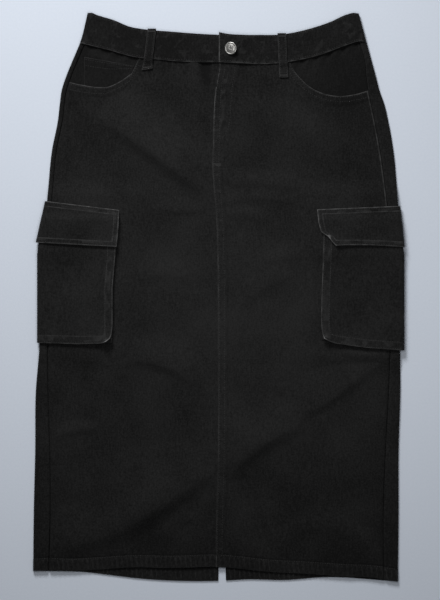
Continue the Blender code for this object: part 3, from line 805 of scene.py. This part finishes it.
def band_place(s, w):
    """One strip round the waist: front, fold, back, fold and front, each one unit of s."""
    radius = (BAND_FRONT + BAND_RISE - BAND_BACK) / 2
    inset = radius + BAND_CLOTH / 2

    def x_at(y):
        left, right = FOLD_X["left"](y) - inset, FOLD_X["right"](y) + inset
        first = CLOSURE_X + (left - CLOSURE_X) * s
        back = left + (right - left) * (s - 2)
        last = right + (UNDERLAP_END_X - right) * (s - 4)
        return np.select([s <= 1, s < 2, s <= 3, s < 4], [first, left, back, right], last)

    low = settle(x_at, BAND_SEAM, 350.0)
    top = settle(x_at, BAND_TOP, 390.0)
    y = low + (top - low) * w
    x = x_at(y)
    from_low, from_top = y - low, top - y
    y = y + CORNER_RISE * w * np.exp(-np.abs(x - CLOSURE_X) / CORNER_REACH) * (s <= 1)
    swell = 0.45 * (1 - np.abs(2 * w - 1) ** 6)
    swell += 0.5 * ripple(x + 0.3 * from_low, 9.5, 21) * bell(from_low, 8)
    swell += 0.35 * ripple(x - 0.3 * from_top, 11, 22) * bell(from_top, 8)
    swell += 0.4 * soft_noise(x, y, 15, 23)
    for distance in (from_low, from_top):
        swell -= 0.25 * bell(distance - 2.6, 0.9)
    over = (BAND_CLOTH + GAP) * (1 - step(x, *OVERLAP_RAMP)) * (s <= 1)
    on_front = (s <= 1) | (s >= 4)
    z = np.where(on_front, BAND_FRONT + BAND_RISE + over + swell, BAND_BACK)
    for start, out in ((1, 1), (3, -1)):
        turning = (s > start) & (s < start + 1)
        angle = (s - start) * math.pi
        x = np.where(turning, x + out * radius * np.sin(angle), x)
        z = np.where(turning, BAND_BACK + radius * (1 + out * np.cos(angle)), z)
    end = np.where(s <= 1, x - CLOSURE_X, FAR)
    edge, worn = rubbed((from_top, 0.14), (from_low, 0.4), (end, 0.9))
    scuffed = (soft_noise(x, y, 7, 24) + 0.8 * soft_noise(x, y, 3, 25) > 0.25) & (edge > 2) & on_front
    return x, y, z, *scuff(edge, worn, scuffed, 0.13, 0.95)


BAND_AROUND = line_up((0, 0.1, 14), (0.1, 1, 92), (1, 2, 12), (2, 3, 60), (3, 4, 12), (4, 5, 110))
cloth("waistband_cloth", BAND_AROUND, line_up((0, 1, 18)), band_place, "waistband",
      BAND_WALL, 0.6, band_painted_shade_denim)

# %% [markdown]
# ## Pocket mouths
# Under each scoop lies a facing of the same denim, one layer lower. The band's seam gathers it a
# little, so short puckers run down from the band. The coin pocket is sewn on the right facing.

# %% Facings and coin pocket
def facing_relief(x, y):
    below_band = BAND_SEAM(x) - y
    gathers = 1.2 * ripple(x + 0.5 * below_band, 20, 31) * bell(below_band, 13)
    return gathers + 0.3 * soft_noise(x, y, 14, 32)


def facing_place(side):
    out = OUT[side]
    inner_x = SCOOP_START_X[side] - 6 * out

    def place(s, w):
        def x_at(y):
            return inner_x + (SEAM_X[side](y) - out * SEAM_GROOVE[side] / 2 - inner_x) * s

        low = settle(x_at, lambda x: np.minimum(SCOOP[side](x), 332) - 15, 300.0)
        high = settle(x_at, BAND_SEAM, 345.0) + 2
        y = low + (high - low) * w
        x = x_at(y)
        side_edge = np.abs(x - SEAM_X[side](y))
        z = front_height(x, y) - LAYER + facing_relief(x, y) - 0.6 * bell(side_edge, 1.6)
        return x, y, z, side_edge, 0.0

    return place


COIN_LEFT_X, COIN_RIGHT_X = -192.0, -121.0
COIN_LEFT_Y, COIN_RIGHT_Y = 343, 330
COIN_SLOPE = (COIN_RIGHT_Y - COIN_LEFT_Y) / (COIN_RIGHT_X - COIN_LEFT_X)


def coin_place(s, w):
    """A small patch on the right facing, with a sloping upper edge."""
    x = COIN_LEFT_X + (COIN_RIGHT_X - COIN_LEFT_X) * s
    high = COIN_LEFT_Y + COIN_SLOPE * (x - COIN_LEFT_X)
    low = SCOOP["right"](x) - 5
    y = low + (high - low) * w
    from_top, from_side = high - y, x - COIN_LEFT_X
    z = front_height(x, y) - LAYER + facing_relief(x, y) + 1.25
    z += 0.35 * (1 - step(np.minimum(from_top, from_side), 8, 10))
    z += 0.2 * ripple(x, 7, 33) * bell(from_top - 5, 4)
    return x, y, z, *rubbed((from_top, 0.3), (from_side, 0.16))


for side in OUT:
    cloth(f"facing_cloth_{side}", line_up((0, 1, 56)), line_up((0, 1, 34)), facing_place(side),
          f"pocket_facing_{side}", finish=facing_painted_shade_denim)
cloth("coin_pocket_cloth", line_up((0, 1, 40)), line_up((0, 1, 24)), coin_place,
      "coin_pocket", finish=facing_painted_shade_denim)

# %% [markdown]
# ## Cargo pockets and flaps
# Each pocket wraps the side fold, half on the front and half under the back. A folded bellows
# strip, the gusset, lets it swell, so even when it lies flat its inner edge stands proud of the
# skirt and drops a soft shadow. Edges are turned under and stitched twice, about 6 mm apart.

# %% Pocket and flap outlines
def straight_line(*rows):
    at, value = np.array(sorted(rows), float).T
    return lambda where: np.interp(where, at, value)


POCKET_INNER = {
    "right": straight_line((-67, -157), (-60, -153), (-41, -151), (13, -151), (60, -147), (110, -146)),
    "left": straight_line((-62, 148), (-33, 146), (13, 147), (60, 149), (110, 150)),
}
POCKET_OUTER = {
    "right": straight_line((-67, -259), (60, -259), (110, -252)),
    "left": straight_line((-76, 265), (60, 265), (72, 263), (110, 259)),
}
POCKET_BOTTOM = {
    "right": straight_line((-258, -65), (-200, -67), (-157, -66)),
    "left": straight_line((147, -60), (167, -66), (209, -72), (264, -76)),
}
FLAP_INNER = {
    "right": straight_line((71, -145), (100, -142.5), (137, -141)),
    "left": straight_line((72, 168), (78, 162), (86, 156), (93, 145.5), (106, 142), (130, 140)),
}
FLAP_OUTER = {
    "right": straight_line((72, -262), (137, -247.5)),
    "left": straight_line((72, 265), (93, 263), (130, 259)),
}
FLAP_BOTTOM = {
    "right": straight_line((-262, 78), (-145, 71.5)),
    "left": straight_line((160, 72.5), (180, 74), (217, 74), (265, 71.5)),
}
FLAP_TOP = {
    "right": straight_line((-247, 137), (-141, 124)),
    "left": straight_line((140, 125), (259, 130)),
}
POCKET_TOP_Y = 108.0
POCKET_REAR, FLAP_REAR = 82.0, 84.0
POCKET_HEM, FLAP_HEM = 12.0, 8.0
POCKET_CLOTH, FLAP_CLOTH = 1.4, 1.8
STITCH_INSET = 1.8
CORNER_CURL = {"right": 5.5, "left": 3.0}


def turned_edge(distance, along, depth, seed):
    """A hem turned under: a thicker border, a stitch groove on each side, and puckers between."""
    border = 0.5 * (1 - step(distance, depth, depth + 2)) * (1 - 0.4 * np.exp(-distance / 0.8))
    grooves = bell(distance - STITCH_INSET, 0.7)
    grooves += bell(distance - depth + 1, 0.8)
    pucker = 0.26 * ripple(along, 7.5, seed) * bell(distance - depth / 2, 4)
    return border - 0.22 * grooves + pucker


def hem_wear(distances, depth, x, y, strength, seed):
    """Rubbed lines at an edge and its second row of stitches, and faint patches between them."""
    nearest = np.minimum.reduce(distances)
    second = 0.55 + np.abs(nearest - depth + 1) / 1.4
    edge, worn = rubbed((second, 0.6 * strength), (np.where(nearest < 3, nearest, FAR), strength))
    between = (nearest > 2.5) & (nearest < depth - 2) & (soft_noise(x, y, 11, seed) > 0)
    return scuff(edge, worn, between, 0.2, 0.95)


# %% Pocket bodies
def pocket_route(side, s, y):
    out = OUT[side]
    apex_x = POCKET_OUTER[side](y) - out * CLOTH / 2
    rear_x = FOLD_X[side](y) - out * (CLOTH / 2 + POCKET_REAR)
    return side, s, y, POCKET_INNER[side](y), apex_x, rear_x, (2, 2)


def pocket_rise(side, s, y, from_inner, from_bottom):
    """How far the pocket stands up from the skirt on its gusset, most at its inner edge."""
    under_flap = 1 - 0.6 * step(y, 56, 84)
    fade = np.clip(1 - s, 0, 1) ** 0.6
    inner = 4.4 * under_flap * np.exp(-from_inner / 16)
    return fade * (inner + 1.8 * np.exp(-np.maximum(from_bottom, 0) / 12))


def pocket_place(side):
    out = OUT[side]

    def place(s, w):
        low = settle(lambda y: wrap_x(*pocket_route(side, s, y)), POCKET_BOTTOM[side], -66.0)
        y = low + (POCKET_TOP_Y - low) * w
        x, z = over_fold(*pocket_route(side, s, y))
        from_inner = np.where(s < 1.5, (x - POCKET_INNER[side](y)) * out, FAR)
        from_bottom = y - low
        relief = turned_edge(from_inner, y, POCKET_HEM, 41) + turned_edge(from_bottom, x, POCKET_HEM, 42)
        relief += 0.8 * soft_noise(x, y, 30, 43) + 0.35 * soft_noise(x, y, 12, 44)
        z += 0.1 + np.clip(1 - s, 0, 1) ** 0.6 * relief + pocket_rise(side, s, y, from_inner, from_bottom)
        corner = np.clip(1 - np.hypot(from_inner, from_bottom) / 16, 0, 1) ** 2 * (s < 1)
        curl = CORNER_CURL[side] * corner
        edge, worn = hem_wear([from_inner, from_bottom], POCKET_HEM, x, y, 0.34, 45)
        worn = np.where(s < 1.2, worn + 0.9 * corner, 0.1)
        return x + out * 0.8 * curl, y + 0.5 * curl, z + curl, edge, worn

    return place


POCKET_WRAP = line_up((0, 0.14, 12), (0.14, 1, 44), (1, 2, 14), (2, 3, 26))
POCKET_UP = line_up((0, 0.1, 14), (0.1, 1, 62))
for side in OUT:
    cloth(f"cargo_pocket_cloth_{side}", POCKET_WRAP, POCKET_UP, pocket_place(side),
          f"cargo_pocket_{side}", POCKET_CLOTH, 0.4)

# %% [markdown]
# ## Gussets
# The gusset is a strip folded in half like a bellows. One half is sewn to the skirt and the other
# to the pocket, and it runs down the inner edge, along the bottom and up the rear edge.

# %% Gussets
GUSSET_CLOTH = 0.6
GUSSET_DEPTH = 9.0
GUSSET_INSET = 0.8
GUSSET_INNER_X = {"right": -151.0, "left": 147.0}
GUSSET_FOOT_Y = {"right": -66.0, "left": -62.0}


def gusset_place(side):
    """s runs down the inner edge (0 to 1), along the bottom (1 to 2) and up the rear edge (2 to 3)."""
    out = OUT[side]

    def place(s, w):
        inset = GUSSET_INSET + GUSSET_DEPTH * np.sin(math.pi * w)
        front_share = inset / (abs(float(POCKET_OUTER[side](0)) - GUSSET_INNER_X[side]) - 3)
        rear_share = inset / (POCKET_REAR - 3)
        along = front_share + np.clip(s - 1, 0, 1) * (3 - rear_share - front_share)
        layer = 0.75 + 0.5 * w

        def route(y):
            apex_x = POCKET_OUTER[side](y) - out * (CLOTH / 2 + (2 - layer) * LAYER)
            rear_x = FOLD_X[side](y) - out * (CLOTH / 2 + POCKET_REAR)
            return side, along, y, GUSSET_INNER_X[side], apex_x, rear_x, (layer, layer)

        foot_x = wrap_x(*route(-60.0))
        foot = np.minimum(POCKET_BOTTOM[side](foot_x), GUSSET_FOOT_Y[side]) + inset
        top = POCKET_TOP_Y - 3
        y = np.where(s <= 1, top + (foot - top) * s, np.where(s <= 2, foot, foot + (top - foot) * (s - 2)))
        x, z = over_fold(*route(y))
        from_inner = np.abs(x - GUSSET_INNER_X[side])
        rise = pocket_rise(side, along, y, from_inner, y - foot + inset)
        return x, y, z + rise * w, FAR, 0

    return place


GUSSET_RUN = line_up((0, 1, 40), (1, 2, 60), (2, 3, 30))
for side in OUT:
    cloth(f"gusset_cloth_{side}", GUSSET_RUN, line_up((0, 1, 12)), gusset_place(side),
          f"cargo_gusset_{side}", GUSSET_CLOTH, 0.0)


# %% Flaps
FLAP_AIR = 0.5
FLAP_TUCK = (157, 85)  # a folded corner, rubbed to its pale core


def flap_place(side):
    out = OUT[side]

    def place(s, w):
        def route(y):
            layers = 3 - 2 * step(y, POCKET_TOP_Y + 1, POCKET_TOP_Y + 13)
            apex_x = FLAP_OUTER[side](y) - out * CLOTH / 2
            rear_x = FOLD_X[side](y) - out * (CLOTH / 2 + FLAP_REAR)
            return side, s, y, FLAP_INNER[side](y), apex_x, rear_x, (layers, 3)

        def edge_x(y):
            # Behind the fold, the flap's edges keep level with where they turned.
            return np.where(s > 1.5, FLAP_OUTER[side](y), wrap_x(*route(y)))

        low = settle(edge_x, FLAP_BOTTOM[side], 74.0, 16, 0.5)
        high = settle(edge_x, FLAP_TOP[side], 128.0, 16, 0.5)
        y = low + (high - low) * w
        x, z = over_fold(*route(y))
        from_inner = np.where(s < 1.5, (x - FLAP_INNER[side](y)) * out, FAR)
        from_bottom, from_top = y - low, high - y
        lift = 2.0 * np.exp(-from_bottom / 13) + 3.4 * np.exp(-from_inner / 14) * step(from_top, 0, 16)
        relief = 0.8 * soft_noise(x, y, 24, 54) + 0.35 * soft_noise(x, y, 10, 55)
        for distance, along, seed in ((from_inner, y, 51), (from_bottom, x, 52), (from_top, x, 53)):
            relief += turned_edge(distance, along, FLAP_HEM, seed)
        edge, worn = hem_wear([from_inner, from_bottom, from_top], FLAP_HEM, x, y, 0.6, 56)
        tuck = np.hypot(x - FLAP_TUCK[0], y - FLAP_TUCK[1]) < 3
        edge, worn = np.where(tuck, 0, edge), np.where(tuck, 1.2, worn)
        z += FLAP_AIR + np.clip(1 - s, 0, 1) ** 0.6 * (lift + relief)
        return x, y, z, edge, np.where(s < 1.4, worn, 0.3 * worn)

    return place


FLAP_UP = line_up((0, 0.2, 10), (0.2, 0.8, 18), (0.8, 1, 10))
for side in OUT:
    cloth(f"cargo_flap_cloth_{side}", POCKET_WRAP, FLAP_UP, flap_place(side),
          f"cargo_flap_{side}", FLAP_CLOTH, 0.6)

# %% [markdown]
# ## Belt loops
# A belt loop is a strip folded in three, topstitched along both edges, and held at each end by a
# bartack. The one on the wearer's right leans, and its lower end is folded under crookedly.

# %% Belt loops
LOOP_WIDTH = 12.0
FRONT_LOOP_CLOTH, BACK_LOOP_CLOTH = 2.0, 1.1
LOOPS = {
    # node: top, bottom, flare of the lower end
    "front_right": ((-95, 382.5), (-102, 325), 1.5),
    "front_left": ((90, 376), (93, 313.5), 0.2),
    "back_right": ((-95, 380), (-97, 322), 0.0),
    "back_centre": ((5, 373), (5, 318), 0.0),
    "back_left": ((105, 376), (107, 320), 0.0),
}


def loop_place(name):
    (top_x, top_y), (bottom_x, bottom_y), flare = LOOPS[name]

    def place(s, w):
        y = bottom_y + (top_y - bottom_y) * w
        half = LOOP_WIDTH / 2 + flare * bell(y - bottom_y, 7)
        lean = flare * 1.2 * (s - 0.5) * bell(y - bottom_y, 9)
        x = bottom_x + (top_x - bottom_x) * w + (2 * s - 1) * half
        crown = 1 - (2 * s - 1) ** 4
        if name.startswith("back"):
            z = BACK_LOOP_CLOTH / 2 + 0.05 + 0.1 * crown
        else:
            seam = BAND_SEAM(x)
            over_band = BAND_FRONT + BAND_RISE + BAND_CLOTH / 2 + FRONT_LOOP_CLOTH / 2 + 0.8
            over_panel = front_height(x, y) + CLOTH / 2 + FRONT_LOOP_CLOTH / 2 + 0.5
            z = over_band + (over_panel - over_band) * step(seam - y, 1, 8)
            z += 0.5 * crown + 0.4 * bell(y - (seam + 20), 12)
            z -= 2.6 * np.exp(-(top_y - y) / 1.4)
        from_side = (1 - np.abs(2 * s - 1)) * half
        z -= 0.2 * bell(from_side - 2.2, 0.7)
        from_end = np.minimum(y - bottom_y, top_y - y)
        edge = np.minimum(from_side, from_end + 0.2)
        return x, y + lean, z, edge, np.where(from_end < 2, 0.4, 0.22)

    return place


for name in LOOPS:
    wall = BACK_LOOP_CLOTH if name.startswith("back") else FRONT_LOOP_CLOTH
    cloth(f"belt_loop_cloth_{name}", line_up((0, 1, 14)), line_up((0, 1, 44)), loop_place(name),
          f"belt_loop_{name}", wall, 0.25 * wall)

# %% [markdown]
# ## The button
# A jeans button is a turned metal cap pressed over a shank. A profile spun round its axis makes
# it, and a ring of small beads round a rosette is its plain, made-up stamp.

# %% Button
BUTTON_PLACE = (17.7, 354.5)
BUTTON_FOOT = BAND_FRONT + BAND_CLOTH * 1.5 + 2 * GAP + 2.7
BUTTON_LEAN = 0.40  # how far it leans on its shank, in radians, about an axis in the band's plane
BUTTON_AXIS = (0.42, -0.9, 0)
BUTTON_PROFILE = [
    # radius, height: the shank, the cap's back, its rim, the groove and the crowned face
    (0, -3.4), (3.2, -3.4), (3.2, 0), (5.2, 0), (5.2, 0.9), (8.3, 1.0), (8.9, 1.35), (9.0, 1.8),
    (8.8, 2.25), (8.2, 2.6), (7.5, 2.55), (7.1, 2.3), (5.9, 2.35), (5.5, 2.6), (4.0, 2.75), (0, 2.8),
]
BEADS, BEAD_RING, BEAD_RADIUS, BEAD_RISE = 22, 6.5, 0.45, 2.35
PETALS, PETAL_RING, PETAL_RISE = 6, 2.4, 2.75
PETAL_SHAPE = (1.5, 0.7, 0.4, 1)


def make_metal():
    """Silver plate over brass, tumbled until it is dull: soft highlights, and a mottle of darker tarnish.
    """
    made, tree, shader, in_mm = new_material("antique_silver_plated_brass")
    mottle = node(tree, "ShaderNodeTexNoise", {"Vector": in_mm, "Scale": 1 / 1.6, "Detail": 4})["Fac"]
    tarnish = node(tree, "ShaderNodeMapRange", {
        "Value": mottle, "From Min": 0.35, "From Max": 0.7,
    })["Result"]
    tint = node(tree, "ShaderNodeMix", {
        "Factor": tarnish, "A": linear("#8e8d8a"), "B": linear("#e4e3df"),
    }, data_type="RGBA")["Result"]
    dullness = node(tree, "ShaderNodeMapRange", {
        "Value": tarnish, "To Min": 0.5, "To Max": 0.3,
    })["Result"]
    tree.links.new(tint, shader.inputs["Base Color"])
    tree.links.new(dullness, shader.inputs["Roughness"])
    shader.inputs["Metallic"].default_value = 1.0
    bump = node(tree, "ShaderNodeBump", {"Height": tarnish, "Strength": 0.3, "Distance": 0.2 * MM})
    tree.links.new(bump["Normal"], shader.inputs["Normal"])
    return made


def on_ring(radius, turn, height):
    place = (radius * math.cos(turn), radius * math.sin(turn), height)
    return Matrix.Translation(Vector(place) * MM)


def make_button():
    bm = bmesh.new()
    verts = [bm.verts.new((r * MM, 0, h * MM)) for r, h in BUTTON_PROFILE]
    edges = [bm.edges.new(pair) for pair in zip(verts, verts[1:])]
    bmesh.ops.spin(bm, geom=verts + edges, axis=(0, 0, 1), angle=math.tau, steps=64, use_merge=True)
    bmesh.ops.remove_doubles(bm, verts=bm.verts, dist=1e-6)
    bmesh.ops.recalc_face_normals(bm, faces=bm.faces)
    for i in range(BEADS):
        bead = on_ring(BEAD_RING, math.tau * i / BEADS, BEAD_RISE)
        bmesh.ops.create_icosphere(bm, subdivisions=2, radius=BEAD_RADIUS * MM, matrix=bead)
    for i in range(PETALS):
        turn = math.tau * i / PETALS
        petal = on_ring(PETAL_RING, turn, PETAL_RISE) @ Matrix.Rotation(turn, 4, "Z")
        shape = petal @ Matrix.Diagonal(PETAL_SHAPE)
        bmesh.ops.create_icosphere(bm, subdivisions=2, radius=1.0 * MM, matrix=shape)
    tilt = Matrix.Rotation(BUTTON_LEAN, 4, Vector(BUTTON_AXIS))
    place = Matrix.Translation(Vector((*BUTTON_PLACE, BUTTON_FOOT)) * MM)
    bmesh.ops.transform(bm, matrix=place @ tilt, verts=bm.verts)
    return add_piece("shank_button", bm, make_metal(), "button")


shank_button = make_button()
print("button faces:", len(shank_button.data.polygons))

# %% [markdown]
# ## Stitches
# Every seam is sewn with thick black thread. A stitch is a short grain of thread sunk half into
# the cloth, so each is one small stretched ball, placed along a row that is given in its own
# sheet's places. Rows are joined into a few pieces. A bartack is a dense row of short crossways
# stitches where a seam takes strain.

# %% Thread
STITCH_PITCH = 3.4
STITCH_SIZE = (2.5, 0.55, 0.5)
BARTACK_PITCH = 0.9
BARTACK_SIZE = (0.75, 2.8, 0.7)
PRESSED = 0.5  # rows under the skirt are pressed flush by its weight
ROW_POINTS = 400  # a row is followed in this many points
NUDGE = 1e-3  # a small step across a sheet, to find which way its cloth faces


def sew(bm, place, s, w, wall, out=1.0, pitch=STITCH_PITCH, size=STITCH_SIZE):
    """Adds one row of stitches along a sheet, where s and w are each one value or several."""
    share = np.linspace(0, 1, ROW_POINTS)
    s, w = (np.interp(share, np.linspace(0, 1, len(v)), v) for v in map(np.atleast_1d, (s, w)))
    at, beside, above = (
        np.stack([np.broadcast_to(v, share.shape) for v in place(s + to_s, w + to_w)[:3]], -1)
        for to_s, to_w in ((0, 0), (NUDGE, 0), (0, NUDGE))
    )
    up = np.cross(beside - at, above - at) * out
    up /= np.linalg.norm(up, axis=1)[:, None]
    reach = np.concatenate([[0], np.cumsum(np.linalg.norm(np.diff(at, axis=0), axis=1))])
    row = bmesh.new()
    for mark in np.arange(pitch / 2, reach[-1], pitch):
        here, ahead, normal = (
            Vector([float(np.interp(v, reach, column)) for column in table.T])
            for v, table in ((mark, at), (mark + 0.2, at), (mark, up))
        )
        along = (ahead - here).normalized()
        across = normal.cross(along).normalized()
        turn = Matrix((along, across, along.cross(across))).transposed().to_4x4()
        centre = Matrix.Translation((here + normal * (wall / 2 + 0.05)) * MM)
        shape = Matrix.Diagonal((size[0] / 2, size[1] / 2, size[2] / 2, 1))
        bmesh.ops.create_icosphere(row, subdivisions=1, radius=MM, matrix=centre @ turn @ shape)
    spare = bpy.data.meshes.new("row")
    row.to_mesh(spare)
    row.free()
    bm.from_mesh(spare)
    bpy.data.meshes.remove(spare)


def finish_thread(name, bm):
    piece = add_piece(name, bm, thread)
    print(f"{name}: {len(piece.data.polygons)} faces")


# %% Thread on the panels
# How far, in millimetres, one unit of a sheet's s and w reaches on its front.
PANEL_RUN, PANEL_LENGTH = 236.0, 590.0
BACK_RUN = 240.0
PANEL_W = np.linspace(0, 1, 300)
PANEL_Y = panel_rows(-370, 337, PANEL_W)
MOUTH_RUNS = {"left": (0.475, 0.6, 0.75, 0.985), "right": (0.52, 0.64, 0.78, 0.985)}
HEM_ROW = 0.93
bm = bmesh.new()
left_panel = front_place("left", False)
for inset in (STITCH_INSET, 8.5):
    sew(bm, left_panel, inset / PANEL_RUN, (0, 1), CLOTH)
    for side in ("left", "right"):
        below_mouth = 1 - (inset + 0.3) / PANEL_LENGTH
        sew(bm, front_place(side, False), MOUTH_RUNS[side], below_mouth, CLOTH, OUT[side])
fly_s = np.array((25, 25, 24.5, 23, 20, 15, 9, 3)) / PANEL_RUN
fly_y = np.array((332, 290, 262, 248, 238, 230, 225, 222))
sew(bm, left_panel, fly_s, np.interp(fly_y, PANEL_Y, PANEL_W), CLOTH)
tack_w = float(np.interp(TACK_Y, PANEL_Y, PANEL_W))
sew(bm, left_panel, (0.004, 0.05), tack_w, CLOTH, 1, BARTACK_PITCH, BARTACK_SIZE)
for side, out in OUT.items():
    sew(bm, front_place(side, True), (0.01, 0.99), HEM_ROW, FRONT_HEM_CLOTH, out)
    sew(bm, back_place(side, True), (0.02, 0.98), HEM_ROW, BACK_HEM_CLOTH, out)
    sew(bm, back_place(side, True), (1.02, 2.98), HEM_ROW, BACK_HEM_CLOTH - PRESSED, out)
    for inset in (STITCH_INSET, 7.0):
        sew(bm, back_place(side, False), 3 - inset / BACK_RUN, (0.02, 0.985), CLOTH - PRESSED, out)
finish_thread("thread_panels", bm)

# %% Thread on the band and loops
bm = bmesh.new()
for w in (0.065, 0.935):
    for start in range(5):
        sew(bm, band_place, (start + 0.005, start + 0.995), w, BAND_WALL)
sew(bm, band_place, 0.009, (0.06, 0.94), BAND_WALL)
for w in (0.93, 0.74):
    sew(bm, coin_place, (0.02, 0.98), w, CLOTH)
for name in ("front_right", "front_left"):
    for s in (0.18, 0.82):
        sew(bm, loop_place(name), s, (0.03, 0.97), FRONT_LOOP_CLOTH)
    for w in (0.045, 0.93):
        sew(bm, loop_place(name), (0.1, 0.9), w, FRONT_LOOP_CLOTH, 1, BARTACK_PITCH, BARTACK_SIZE)
finish_thread("thread_band", bm)

# %% Thread on the pockets and flaps
POCKET_RUN, POCKET_LENGTH = 105, 174
FLAP_RUN, FLAP_LENGTH = 112, 55
bm = bmesh.new()
for side, out in OUT.items():
    pocket, flap = pocket_place(side), flap_place(side)
    for inset in (STITCH_INSET, POCKET_HEM - 1):
        s, w = inset / POCKET_RUN, inset / POCKET_LENGTH
        sew(bm, pocket, s, (w, 1), POCKET_CLOTH, out)
        sew(bm, pocket, (s, 0.97), w, POCKET_CLOTH, out)
        sew(bm, pocket, (2.05, 2.95), w, POCKET_CLOTH - PRESSED, out)
    for inset in (STITCH_INSET, FLAP_HEM - 1):
        s = inset / FLAP_RUN
        for w in (inset / FLAP_LENGTH, 1 - inset / FLAP_LENGTH):
            sew(bm, flap, (s, 0.97), w, FLAP_CLOTH, out)
            sew(bm, flap, (2.05, 2.97), w, FLAP_CLOTH - PRESSED, out)
        sew(bm, flap, s, (0.05, 0.95), FLAP_CLOTH, out)
finish_thread("thread_pockets", bm)
